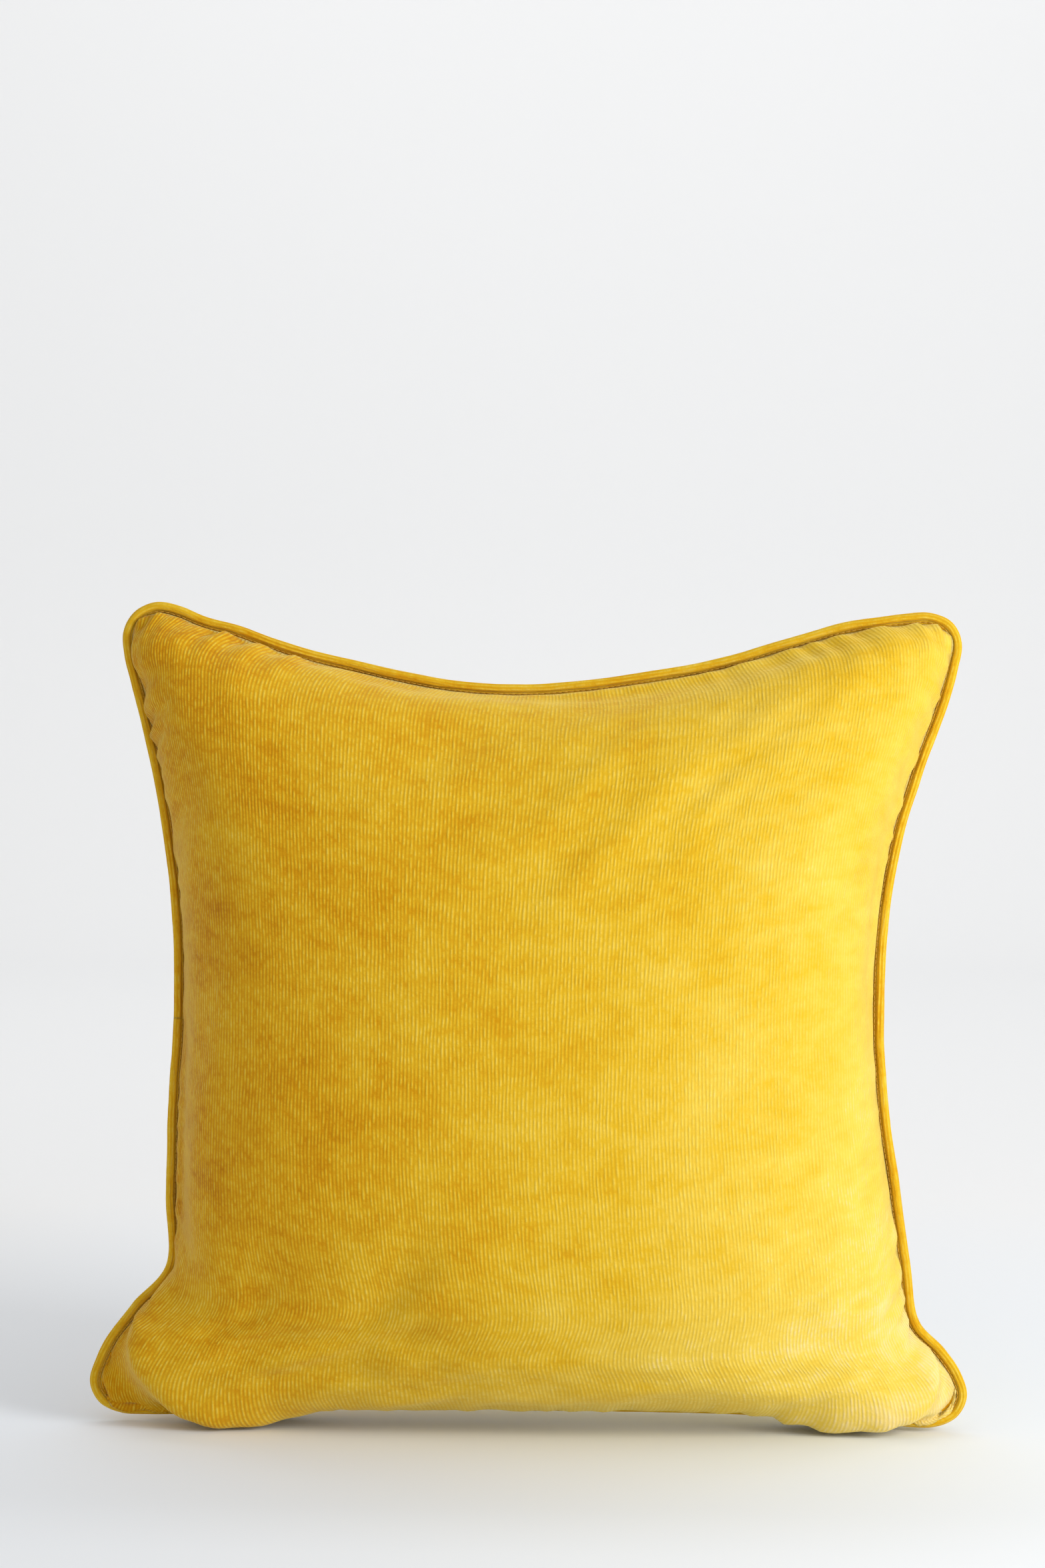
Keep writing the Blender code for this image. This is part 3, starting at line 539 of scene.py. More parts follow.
def pucker(panel, seed):
    """Gathers along the seam: strongest towards the corners, where the cloth is eased in."""
    u, v = np.meshgrid(panel.u, panel.v, indexing="ij")
    normals = grid_normals(panel.points, panel.side)
    deep = np.zeros_like(u)
    for along, across, side in ((u, v, 1), (u, v, -1), (v, u, 1), (v, u, -1)):
        away = HALF_CUT - side * across
        near_corner = smooth_step((np.abs(along) - 0.070) / 0.090)
        vary = np.array([[noise.noise(Vector((a / 0.045, side * 3.3 + seed, 1.7 if along is u
                                              else 5.1))) for a in row] for row in along])
        phase = along / PUCKER_SPACING + vary * 1.3
        wave = np.sin(2 * math.pi * phase)
        strength = (0.25 + 0.75 * near_corner) * (0.7 + 0.6 * vary)
        fade = smooth_step(away / 0.006) * np.exp(-(away / PUCKER_REACH) ** 1.5)
        deep += wave * strength * fade
    keep = 1 - smooth_step(panel.zip_weight * 2)
    panel.points = panel.points - normals * (PUCKER_DEPTH * deep * keep)[..., None]
    z = panel.points[..., 2]
    inside = smooth_step((HALF_CUT - np.maximum(np.abs(u), np.abs(v))) / 0.012)
    gap = np.where(u < 0, z[u < 0].min(), z[u >= 0].min())
    z -= (gap - FOOT_LIFT) * inside * (1 - smooth_step((z - gap) / 0.02))
    z[:] = np.maximum(z, FOOT_LIFT)


# ---------------------------------------------------------------- materials
class Shader:
    """A node material with short calls for the nodes used here."""

    def __init__(self, name, **sockets):
        self.mat = bpy.data.materials.new(name)
        self.mat.use_nodes = True
        self.tree = self.mat.node_tree
        self.main = self.tree.nodes["Principled BSDF"]
        for socket, value in sockets.items():
            self.main.inputs[socket.replace("_", " ")].default_value = value

    def node(self, kind, inputs=(), **settings):
        made = self.tree.nodes.new("ShaderNode" + kind)
        for key, value in settings.items():
            setattr(made, key, value)
        for socket, value in dict(inputs).items():
            if isinstance(value, bpy.types.NodeSocket):
                self.tree.links.new(value, made.inputs[socket])
            else:
                made.inputs[socket].default_value = value
        return made

    def math(self, operation, *values, clamp=False):
        made = self.node("Math", dict(enumerate(values)), operation=operation)
        made.use_clamp = clamp
        return made.outputs[0]

    def add(self, a, b):
        return self.math("ADD", a, b)

    def mul(self, a, b):
        return self.math("MULTIPLY", a, b)

    def fit(self, value, scale, shift, clamp=False):
        """value * scale + shift"""
        return self.math("MULTIPLY_ADD", value, scale, shift, clamp=clamp)

    def flat(self):
        """The cloth's own flat coordinates, in metres: across and along its wales."""
        uv = self.node("UVMap", uv_map="cloth")
        parts = self.node("SeparateXYZ", {"Vector": uv.outputs[0]})
        return parts.outputs[0], parts.outputs[1]

    def noise(self, vector, scale, detail=2.0, rough=0.5):
        made = self.node("TexNoise", {"Vector": vector, "Scale": scale, "Detail": detail,
                                      "Roughness": rough})
        return made.outputs[0]

    def vector(self, x, y, z=0.0):
        return self.node("CombineXYZ", {0: x, 1: y, 2: z}).outputs[0]

    def flat_noise(self, scales, detail, rough=0.5, layer=0.0):
        """Noise on the flat coordinates, with its own scale each way."""
        ways = [self.mul(way, scale) for way, scale in zip(self.flat(), scales)]
        return self.noise(self.vector(*ways, layer), 1.0, detail, rough)

    def ramp(self, factor, stops):
        made = self.node("ValToRGB", {"Fac": factor})
        elements = made.color_ramp.elements
        while len(elements) < len(stops):
            elements.new(0.5)
        for element, (place, colour) in zip(elements, stops):
            element.position = place
            element.color = (*colour, 1)
        return made.outputs[0]

    def mix(self, factor, a, b):
        made = self.node("Mix", {0: factor}, data_type="RGBA")
        for socket, value in ((made.inputs[6], a), (made.inputs[7], b)):
            if isinstance(value, bpy.types.NodeSocket):
                self.tree.links.new(value, socket)
            else:
                socket.default_value = (*value, 1)
        return made.outputs[2]

    def set(self, socket, value):
        self.tree.links.new(value, self.main.inputs[socket])

    def bump(self, height, distance, strength=1.0):
        made = self.node("Bump", {"Height": height, "Distance": distance, "Strength": strength})
        self.set("Normal", made.outputs[0])


DEEP = (0.47, 0.160, 0.001)
SHADE = (0.65, 0.300, 0.003)
MIDDLE = (0.76, 0.465, 0.018)
LIGHT = (0.85, 0.610, 0.090)
PALE = (0.92, 0.750, 0.42)


def chenille(name="chenille", painted_light=1.2, pitch=0.0019, dash=0.0045):
    """Ribbed chenille: upright wales broken into dashes, with a pile that shades in patches.

    Painted light turns the cloth paler towards its right, the key light's side, and towards its
    bottom.
    """
    sh = Shader(name, Roughness=0.85, Sheen_Weight=0.8, Sheen_Roughness=0.40,
                Sheen_Tint=(1.0, 0.84, 0.30, 1), Specular_IOR_Level=0.08)
    across, along = sh.flat()
    drift = sh.flat_noise((60, 26), 3.0)
    wale = sh.add(sh.math("DIVIDE", across, pitch), sh.mul(drift, 1.6))
    ridge = sh.fit(sh.math("COSINE", sh.mul(wale, 2 * math.pi)), 0.5, 0.5)
    # each wale has its own dashes: the noise jumps from one wale to the next
    number = sh.mul(sh.math("FLOOR", sh.add(wale, 0.5)), 3.7)
    dashes = sh.noise(sh.vector(number, sh.math("DIVIDE", along, dash)), 1.0, 3.0, 0.6)
    dashes = sh.fit(dashes, 3.2, -1.1, clamp=True)
    pile = sh.flat_noise((2600, 1500), 2.0, 0.7)
    height = sh.add(sh.mul(ridge, sh.fit(dashes, 0.80, 0.12)), sh.mul(pile, 0.40))
    # painted shade: the tone darkens towards the left, away from the key light, and the wales
    # stand out most there
    wale_contrast_and_left_shade = sh.fit(across, -0.8, 0.31, clamp=True)
    tone = sh.add(sh.mul(height, wale_contrast_and_left_shade), sh.fit(wale_contrast_and_left_shade, -0.45, 0.40))
    # crushed patches, broad and fine
    for patches, strength in ((sh.flat_noise((15, 19), 3.0, 0.55), 0.42),
                              (sh.flat_noise((55, 110), 4.0, 0.6, 4.0), 0.38)):
        tone = sh.add(tone, sh.fit(patches, strength, -strength / 2))
    # painted light: paler towards the cloth's bottom, paler to its right and darker to its left,
    # most low down; the second argument scales it
    low = sh.math("MAXIMUM", sh.fit(along, -0.75, -0.03), 0.0)
    painted_side_light = sh.mul(across, sh.fit(along, -1.0, 0.85))
    tone = sh.add(tone, sh.mul(sh.add(painted_side_light, low), painted_light))
    sh.set("Base Color", sh.ramp(tone, ((0.0, DEEP), (0.2, SHADE), (0.42, MIDDLE), (0.7, LIGHT),
                                        (1.0, PALE))))
    sh.set("Roughness", sh.fit(height, -0.15, 0.95))
    sh.bump(height, 0.0004, 0.8)
    return sh.mat


def grainy(name, dark, light, scale, rough=0.85, bump=0.0002, stretch=(1, 1, 1), metal=0.0):
    """A finish of two tones, mixed by a fine grain that also raises the surface."""
    sh = Shader(name, Metallic=metal)
    place = sh.node("TexCoord").outputs["Object"]
    grain = sh.noise(sh.node("Mapping", {"Vector": place, "Scale": stretch}).outputs[0], scale,
                     3.0, 0.6)
    sh.set("Base Color", sh.ramp(grain, ((0.3, dark), (0.7, light))))
    sh.set("Roughness", sh.fit(grain, 0.16, rough - 0.08))
    sh.bump(grain, bump)
    return sh.mat


def woven(name, dark, light, pitch, rough, bump=0.00015, sheen=0.0):
    """A fine weave: warp and weft cross over each other, on flat coordinates."""
    sh = Shader(name, Sheen_Weight=sheen)
    across, along = sh.flat()
    waves = [sh.math("SINE", sh.mul(way, math.pi / pitch))
             for way in (across, along)]
    weave = sh.fit(sh.mul(*waves), 0.5, 0.5)
    grain = sh.noise(sh.vector(across, along), 900.0, 3.0, 0.6)
    height = sh.fit(grain, 0.6, sh.mul(weave, 0.4))
    sh.set("Base Color", sh.ramp(height, ((0.25, dark), (0.75, light))))
    sh.set("Roughness", sh.fit(grain, 0.16, rough - 0.08))
    sh.bump(height, bump)
    return sh.mat


# ---------------------------------------------------------------- the cover
def panel_layers(points, side, thickness=COVER_THICKNESS):
    """The outer and the inner face of a panel; at its rim the cloth turns in."""
    normals = grid_normals(points, side)
    inner = points - normals * thickness
    ring, inward = rim_inward(points)
    inner.reshape(-1, 3)[ring] = points.reshape(-1, 3)[ring] + inward * thickness
    return points, inner


def build_front(front, mat):
    points = upsample(front.points)
    flat = upsample(front.flat)[..., [0, 2]]
    n = len(points)
    obj = shell_object("front_cloth", *panel_layers(points, -1), grid_faces(n, n), mat, flat)
    settle(obj, "chenille", "front_panel")


def slot_width(x, slot_end):
    """How far each folded edge stands off the zip's middle line, at x along it."""
    closed = smooth_step((np.abs(x) - slot_end) / SLOT_CLOSES)
    return SLOT_HALF_WIDTH * (1 - closed) + GAP / 2 * closed


def build_back(back, slot_end, mat):
    """The back's two panels, parted at the zip's row and sewn together past its ends."""
    points = upsample(back.points)
    flat = upsample(back.flat)[..., [0, 2]]
    n, row = len(points), 2 * SLOT_ROW
    normals = grid_normals(points, 1)
    up = unit(np.gradient(points, axis=1)[:, row])
    width = slot_width(points[:, row, 0], slot_end)
    sunk = SEAM_SINK * (1 - (width / SLOT_HALF_WIDTH)) + FOLD_SINK
    faces = grid_faces(n, n, True)
    low_rows = faces.min(1) % n
    for name, node, sign, keep in (("back_cloth_lower", "back_panel_lower", -1, low_rows < row),
                                   ("back_cloth_upper", "back_panel_upper", 1, low_rows >= row)):
        moved = points.copy()
        for rows_off, share in ((0, 1.0), (1, 0.55)):
            at = row + sign * rows_off
            moved[:, at] += (up * sign * (width * share)[:, None]
                             - normals[:, at] * (sunk * share ** 3)[:, None])
        obj = shell_object(name, *panel_layers(moved, 1), faces[keep], mat, flat)
        settle(obj, "chenille", node)
        edge = row + sign
        build_topstitch(name, moved[:, edge], normals[:, edge], slot_end, sign)


def build_topstitch(name, line, normals, slot_end, sign):
    """The row of stitches that holds the zip's tape, beside the folded edge."""
    inside = np.abs(line[:, 0]) < slot_end + 0.004
    path = line[inside] + normals[inside] * (THREAD_RADIUS * 0.6)
    obj = stitches(f"zip_stitches_{name[11:]}", path, normals[inside], MATERIALS["thread"])
    settle(obj, "polyester_thread")


def stitches(name, path, out, mat, closed=False):
    """Short lengths of thread laid end to end along a path, each dipping in at its ends."""
    if closed:
        path, out = (np.concatenate([a, a[:1]]) for a in (path, out))
    length = run_lengths(path)
    count = int(length[-1] / STITCH_PITCH)
    shares = np.array([0.04, 0.16, 0.5, 0.84, 0.96])
    lift = np.array([-1.6, -0.1, 0.35, -0.1, -1.6]) * THREAD_RADIUS
    radius = np.array([0.55, 0.95, 1.0, 0.95, 0.55]) * THREAD_RADIUS
    angles = np.arange(6) * math.pi / 3
    want = ((np.arange(count)[:, None] + shares) * length[-1] / count).ravel()
    centre = read_line(want, length, path)
    away = unit(read_line(want, length, out))
    centre += away * np.tile(lift, count)[:, None]
    along = unit(np.gradient(centre, axis=0))
    beside = unit(np.cross(along, away))
    size = np.tile(radius, count)[:, None, None]
    verts = (centre[:, None] + size * (np.cos(angles)[:, None] * beside[:, None]
                                       + np.sin(angles)[:, None] * away[:, None])).reshape(-1, 3)
    faces = []
    for s in range(count):
        base = s * 30
        for r in range(4):
            for k in range(6):
                a, b = base + r * 6 + k, base + r * 6 + (k + 1) % 6
                faces.append((a, b, b + 6, a + 6))
        faces += [[base + k for k in reversed(range(6))], [base + 24 + k for k in range(6)]]
    uvs = np.stack([np.tile(angles * THREAD_RADIUS, len(want)), np.repeat(want, 6)], 1)
    return mesh_object(name, verts, faces, mat, uvs)


# ---------------------------------------------------------------- the piping
def piping_path(seam, spacing=0.0011):
    """The piping's centreline, slightly wavy, with its inward directions and how far along it each
    point lies.
    """
    count = int(seam.length / spacing)
    index = np.arange(count) * seam.count / count
    place = np.arange(count) * seam.length / count
    inward = unit(seam.read(seam.inward, index))
    sway = np.array([loop_noise(p, seam.length, 0.021, 1) for p in place]) * 0.00035
    lift = np.array([loop_noise(p, seam.length, 0.016, 2) for p in place]) * 0.00030
    path = seam.read(seam.points, index) + inward * sway[:, None]
    path[:, 1] += lift
    return path, inward, place


def loop_noise(place, length, scale, seed):
    """Smooth noise round a closed line, with no step where it closes."""
    angle = 2 * math.pi * place / length
    radius = length / (2 * math.pi * scale)
    return noise.noise(Vector((radius * math.cos(angle), radius * math.sin(angle), seed * 9.7)))


def build_piping(seam):
    """The sleeve with its wales as real ridges, the cord in it, and the two rows of thread."""
    path, inward, place = piping_path(seam)
    depthways = np.tile((0.0, 1.0, 0.0), (len(path), 1))
    arc = 44
    start = math.asin(LEG_OUTER / PIPE_RADIUS)
    angle = start + (2 * math.pi - 2 * start) * np.arange(arc + 1) / arc
    twist = np.array([loop_noise(p, seam.length, 0.055, 3) for p in place])
    swell = np.array([loop_noise(p, seam.length, 0.013, 4) for p in place])
    wales = 7
    ridge = np.abs(np.cos((angle[None] * wales + twist[:, None] * 2.5) / 2)) ** 0.8
    broken = np.array([[noise.noise(Vector((p / 0.004, round(a * wales / 2) * 3.1, 8.0)))
                        for a in angle[::4]] for p in place])
    broken = np.repeat(broken, 4, axis=1)[:, :arc + 1]
    radius = PIPE_RADIUS - 0.00034 + 0.00034 * ridge + 0.00009 * swell[:, None] + 0.00007 * broken
    outer = np.stack([np.cos(angle) * radius, np.sin(angle) * radius], -1)
    inner_radius, inner_arc = CORD_RADIUS + GAP / 2, 10
    inner_start = math.asin(GAP / 2 / inner_radius)
    inner_turn = 2 * math.pi - 2 * inner_start
    inner_angle = inner_start + inner_turn * np.arange(inner_arc + 1) / inner_arc
    inner = np.stack([np.cos(inner_angle), -np.sin(inner_angle)], -1) * inner_radius
    whole = (len(path),)
    profile = np.concatenate([
        np.broadcast_to([(LEG_LENGTH, LEG_OUTER)], whole + (1, 2)), outer,
        np.broadcast_to([(LEG_LENGTH, -LEG_OUTER), (LEG_LENGTH, -GAP / 2)], whole + (2, 2)),
        np.broadcast_to(inner, whole + inner.shape),
        np.broadcast_to([(LEG_LENGTH, GAP / 2)], whole + (1, 2))], axis=1)
    sleeve = swept("piping_cloth", path, profile, MATERIALS["piping"],
                   frames=(inward, depthways))
    settle(sleeve, "chenille", "piping_sleeve")

    turn = np.arange(18) * 2 * math.pi / 18
    lay = place * 2 * math.pi / 0.009
    strand = (CORD_RADIUS - 0.00018 + 0.00018
              * np.abs(np.cos((turn[None] * 3 + lay[:, None]) / 2)) ** 0.6)
    round_profile = np.stack([np.cos(turn) * strand, -np.sin(turn) * strand], -1)
    cord = swept("piping_cotton_cord", path, round_profile, MATERIALS["cotton"],
                 frames=(inward, depthways))
    settle(cord, "cotton_cord", "piping_cord")
    for name, node, side in (("needle_stitches", "seam_needle_thread", -1),
                             ("bobbin_stitches", "seam_bobbin_thread", 1)):
        off = (LEG_OUTER + GAP + THREAD_RADIUS) * side
        line = path + inward * (PIPE_RADIUS + 0.0005) + np.array((0, off, 0))
        row = stitches(name, line, depthways * side, MATERIALS["thread"], closed=True)
        settle(row, "polyester_thread", node)


# ---------------------------------------------------------------- the zip and the label
def rounded(x_low, x_high, low_half, high_half, radius, steps=5):
    """An outline from x_low to x_high with rounded corners; its half-width may taper."""
    points = []
    for x, half, turn in ((x_low + radius, -low_half + radius, 180),
                          (x_high - radius, -high_half + radius, 270),
                          (x_high - radius, high_half - radius, 0),
                          (x_low + radius, low_half - radius, 90)):
        for step in range(steps + 1):
            angle = math.radians(turn + 90 * step / steps)
            points.append((x + radius * math.cos(angle), half + radius * math.sin(angle)))
    return points


def solid(place, outline, low, high, bevel, hole=None):
    """A flat metal piece with softened edges: an outline between two depths."""
    bm = bmesh.new()
    lines = [outline] if hole is None else [outline, hole]
    loops = [[bm.verts.new(place(x, up, depth)) for x, up in line]
             for depth in (low, high) for line in lines]
    if hole is None:
        bm.faces.new(loops[0])
        bm.faces.new(loops[1])
        walls = ((0, 1),)
    else:
        walls = ((0, 2), (1, 3), (0, 1), (2, 3))
    count = len(outline)
    for a, b in walls:
        for k in range(count):
            after = (k + 1) % count
            bm.faces.new((loops[a][k], loops[a][after], loops[b][after], loops[b][k]))
    bmesh.ops.recalc_face_normals(bm, faces=bm.faces)
    sharp = [e for e in bm.edges if e.calc_face_angle(0.0) > math.radians(50)]
    bmesh.ops.bevel(bm, geom=sharp, offset=bevel, segments=3, profile=0.5, affect="EDGES")
    bm.verts.index_update()
    verts = np.array([v.co for v in bm.verts])
    faces = [[v.index for v in f.verts] for f in bm.faces]
    bm.free()
    return verts, faces


def joined(parts):
    verts = np.concatenate([part[0] for part in parts])
    faces, start = [], 0
    for part_verts, part_faces in parts:
        faces += [[v + start for v in face] for face in part_faces]
        start += len(part_verts)
    return verts, faces


def build_tape(plane, name, sign, mat):
    """A woven tape with a thicker edge, where the coil is sewn on."""
    end = plane.half + 0.0025
    x = np.linspace(-end, end, 120)
    half = TAPE_THICKNESS / 2
    bead = 1.35
    near, far = TAPE_NEAR, TAPE_FAR
    section = [(near, -half * bead), (near + 0.0007, -half * bead), (near + 0.0012, -half),
               (far - 0.0003, -half), (far, 0.0), (far - 0.0003, half), (near + 0.0012, half),
               (near + 0.0007, half * bead), (near, half * bead), (near - 0.0002, 0.0)]
    up, deep = (np.array(c) for c in zip(*section))
    path = plane.point(x, 0.0, CHAIN_DEPTH)
    frames = [np.broadcast_to(d, path.shape) for d in (plane.across, plane.inward)]
    obj = swept(f"tape_{name}", path, np.stack([sign * up, deep], 1), mat, closed=False,
                frames=frames)
    settle(obj, "zip_tape", f"zip_tape_{name}")


def build_coil(plane, name, sign, mat):
    """One side of the zip's chain: an oval helix, half a turn out of step with the other."""
    turn, sides = 12, 6
    start = -plane.half + COIL_WIRE + (0.5 * COIL_PITCH if sign < 0 else 0.0)
    turns = int((plane.half - COIL_WIRE - start) / COIL_PITCH)
    steps = np.arange(turns * turn + 1)
    angle = 2 * math.pi * steps / turn
    path = plane.point(start + COIL_PITCH * steps / turn,
                       sign * (COIL_CENTRE - COIL_REACH * np.cos(angle)),
                       CHAIN_DEPTH + COIL_DEEP * np.sin(angle))
    along = unit(np.gradient(path, axis=0))
    first = unit(np.cross(along, np.broadcast_to((1.0, 0.0, 0.0), along.shape)))
    round_it = np.arange(sides) * 2 * math.pi / sides
    profile = COIL_WIRE * np.stack([np.cos(round_it), np.sin(round_it)], 1)
    obj = swept(f"coil_{name}", path, profile, mat, closed=False,
                frames=(first, np.cross(along, first)))
    settle(obj, "zip_coil", f"zip_coil_{name}")


def build_stop(plane, name, sign, mat):
    """A metal staple closed round both coils."""
    near, far = plane.half + GAP, plane.half + GAP + 0.0025
    low, high = sorted((sign * near, sign * far))
    verts, faces = solid(plane.point, rounded(low, high, 0.0021, 0.0021, 0.0006),
                         CHAIN_DEPTH - 0.0008, CHAIN_DEPTH + 0.0008, 0.0003)
    settle(mesh_object(f"{name}_stop", verts, faces, mat), "zip_metal", f"zip_{name}_stop")


def build_slider(plane, x, mat):
    """Two shaped plates on a post, and the crown that holds the pull."""
    shield = rounded(x - SLIDER_HALF_LENGTH, x + SLIDER_HALF_LENGTH, SLIDER_HALF_WIDTH * 0.72,
                     SLIDER_HALF_WIDTH, 0.0011)
    parts = [solid(plane.point, shield, start, start + PLATE_THICKNESS, 0.00028)
             for start in PLATE_DEPTHS]
    post = rounded(x - 0.0012, x + 0.0012, 0.00025, 0.00025, 0.0001)
    parts.append(solid(plane.point, post, PLATE_DEPTHS[0] + 0.0005, PLATE_DEPTHS[1] + 0.0005,
                       0.00003))
    # the crown: a strap bent over the pull's bar, in the plane of x and depth
    share = np.linspace(0, math.pi, 17)
    reach, height = 0.0029, 0.0023
    path = plane.point(x - reach * np.cos(share), 0.0,
                       PLATE_DEPTHS[0] + 0.0002 - height * np.sin(share) ** 0.55)
    along = unit(np.gradient(path, axis=0))
    beside = np.broadcast_to(plane.across, path.shape)
    strap = rounded(-0.00045, 0.00045, 0.00078, 0.00078, 0.0003, 3)
    profile = np.array([(half, off) for off, half in strap])
    crown = swept("crown", path, profile, mat, closed=False,
                  frames=(beside, np.cross(along, beside)))
    parts.append((np.array([v.co for v in crown.data.vertices]),
                  [list(f.vertices) for f in crown.data.polygons]))
    bpy.data.objects.remove(crown, do_unlink=True)
    settle(mesh_object("slider_body", *joined(parts), mat), "zip_metal", "zip_slider",
           body="slider")


def build_pull(plane, x, mat):
    """A tab with a window whose end bar turns in the crown, and a dished grip."""
    thick = PULL_HALF_THICKNESS
    tab = solid(plane.point, rounded(x - PULL_LENGTH, x + thick, PULL_HALF_WIDTH,
                                     PULL_HALF_WIDTH * 0.72, 0.0010),
                PIVOT_DEPTH - thick, PIVOT_DEPTH + thick, 0.00024,
                hole=rounded(x - 0.0048, x - thick, 0.0012, 0.0012, 0.0004))
    grip = []
    for sign in (-1, 1):
        low, high = sorted((PIVOT_DEPTH + sign * thick * 0.9, PIVOT_DEPTH + sign * thick * 1.08))
        outer = rounded(x - PULL_LENGTH + 0.0011, x - 0.0068, 0.0017, 0.0013, 0.0007)
        inner = rounded(x - PULL_LENGTH + 0.0016, x - 0.0073, 0.0012, 0.0008, 0.0004)
        grip.append(solid(plane.point, outer, low, high, 0.00003, hole=inner))
    settle(mesh_object("pull_tab", *joined([tab] + grip), mat), "zip_metal", "zip_pull",
           body="pull")


def panel_at(panel, u, v, values):
    """Values of the panel's grid, read at flat positions."""
    places = []
    for lines, want in ((panel.u, u), (panel.v, v)):
        places.append(np.interp(want, lines, np.arange(len(lines))))
    i, j = (np.clip(place.astype(int), 0, len(values) - 2) for place in places)
    s, t = ((place - low)[..., None] for place, low in zip(places, (i, j)))
    return ((values[i, j] * (1 - s) + values[i + 1, j] * s) * (1 - t)
            + (values[i, j + 1] * (1 - s) + values[i + 1, j + 1] * s) * t)


def build_label(back, mat):
    """A blank satin label that hangs inside the upper back panel."""
    left, right, bottom, top = LABEL_FLAT
    u, v = np.meshgrid(np.linspace(left, right, 14), np.linspace(bottom, top, 26), indexing="ij")
    outer = panel_at(back, u, v, back.points)
    normals = unit(panel_at(back, u, v, grid_normals(back.points, 1)))
    faces = grid_faces(*u.shape, True)
    obj = shell_object("label", outer - normals * LABEL_DEPTHS[0],
                       outer - normals * LABEL_DEPTHS[1], faces, mat, np.stack([u, v], -1))
    settle(obj, "label_satin", "care_label")


def build_zip(plane):
    for name, sign in (("upper", 1), ("lower", -1)):
        build_tape(plane, name, sign, MATERIALS["tape"])
        build_coil(plane, name, sign, MATERIALS["coil"])
    build_stop(plane, "top", 1, MATERIALS["metal"])
    build_stop(plane, "bottom", -1, MATERIALS["metal"])
    x = vertices_of("zip_slider")[:, 0]
    middle = float(x.min() + x.max()) / 2
    build_slider(plane, middle, MATERIALS["metal"])
    build_pull(plane, middle, MATERIALS["metal"])


# ---------------------------------------------------------------- the pad
def eased(points, passes):
    """The grid with its folds smoothed out; its rim stays."""
    points = points.copy()
    for _ in range(passes):
        around = (points[:-2, 1:-1] + points[2:, 1:-1] + points[1:-1, :-2] + points[1:-1, 2:]) / 4
        points[1:-1, 1:-1] = (points[1:-1, 1:-1] + around) / 2
    return points


def kept_inside(points, panel, depth):
    """The points, moved in wherever they lie less than `depth` inside the cover."""
    n = len(panel.points)
    cover = BVHTree.FromPolygons(panel.points.reshape(-1, 3).tolist(),
                                 grid_faces(n, n, panel.side > 0).tolist())
    points = points.copy()
    inner = points[1:-1, 1:-1]
    for row in inner:
        for point in row:
            nearest, normal, _, _ = cover.find_nearest(Vector(point))
            within = -(Vector(point) - nearest).dot(normal)
            if within < depth:
                point[:] = nearest - normal * depth
    return points


def pad_faces(front, back, depth):
    """The pad's two faces at a depth inside the cover, as grids, and the ring between them."""
    middle = (eased(front.points, 8)[..., 1] + eased(back.points, 8)[..., 1]) / 2
    trim = 3
    found = []
    for panel in (front, back):
        points = eased(panel.points, 8)
        room = depth + ZIP_ROOM * panel.zip_weight + PAD_EASE
        moved = points - grid_normals(points, panel.side) * room[..., None]
        off = (moved[..., 1] - middle) * panel.side
        moved[..., 1] = middle + panel.side * np.maximum(off, 0.0012 - depth * 0.2)
        found.append(kept_inside(moved[trim:-trim, trim:-trim], panel, depth))
    ring_at = rim_indices(len(found[0]))
    a, b = (f.reshape(-1, 3)[ring_at] for f in found)
    ring = (a + b) / 2
    centre = ring.mean(0)
    ring += unit(ring - centre) * 0.001
    return found, ring


def build_pad(front, back):
    """The nonwoven casing's two halves, their seam, and the fibre filling."""
    (front_face, back_face), ring = pad_faces(front, back, PAD_DEPTH)
    (front_in, back_in), ring_in = pad_faces(front, back, PAD_DEPTH + CASING_THICKNESS)
    n = len(front_face)
    flat = front.flat[3:-3, 3:-3][..., [0, 2]].reshape(-1, 2)
    at = rim_indices(n)
    after = np.roll(np.arange(len(at)), -1)
    for side, name, outer, inner in ((-1, "casing_front", front_face, front_in),
                                     (1, "casing_back", back_face, back_in)):
        step = np.array((0, side * GAP / 2, 0))
        outside = np.concatenate([outer.reshape(-1, 3), ring + step])
        inside = np.concatenate([inner.reshape(-1, 3), ring_in * 0.985 + ring.mean(0) * 0.015
                                 + step])
        hem = np.stack([at, np.arange(len(at)) + n * n, after + n * n, at[after]], 1)
        hem = hem[:, ::-1] if side > 0 else hem
        faces = np.concatenate([grid_faces(n, n, side > 0), hem[:, ::-1][:, [0, 1, 2, 3]]])
        uvs = np.concatenate([flat, flat[at] * 1.02])
        half = shell_object(name, outside, inside, faces, MATERIALS["nonwoven"], uvs)
        settle(half, "nonwoven", "pad_" + name)
    out = unit(ring - ring.mean(0))
    seam = stitches("pad_stitches", ring + out * 0.0006, out, MATERIALS["pad_thread"], closed=True)
    settle(seam, "polyester_thread", "pad_seam_thread")

    (front_fibre, back_fibre), ring = pad_faces(front, back, FIBRE_DEPTH)
    ring = ring * 0.975 + ring.mean(0) * 0.025
    verts = np.concatenate([front_fibre.reshape(-1, 3), back_fibre.reshape(-1, 3), ring])
    low, high = 2 * n * n + np.arange(len(at)), 2 * n * n + after
    faces = np.concatenate([grid_faces(n, n), grid_faces(n, n, True) + n * n,
                            np.stack([low, high, at[after], at], 1),
                            np.stack([at + n * n, at[after] + n * n, high, low], 1)])
    uvs = np.concatenate([flat, flat, flat[at]])
    filling = mesh_object("fibre", verts, faces, MATERIALS["fibre"], uvs)
    settle(filling, "polyester_fibre", "fibre_filling")


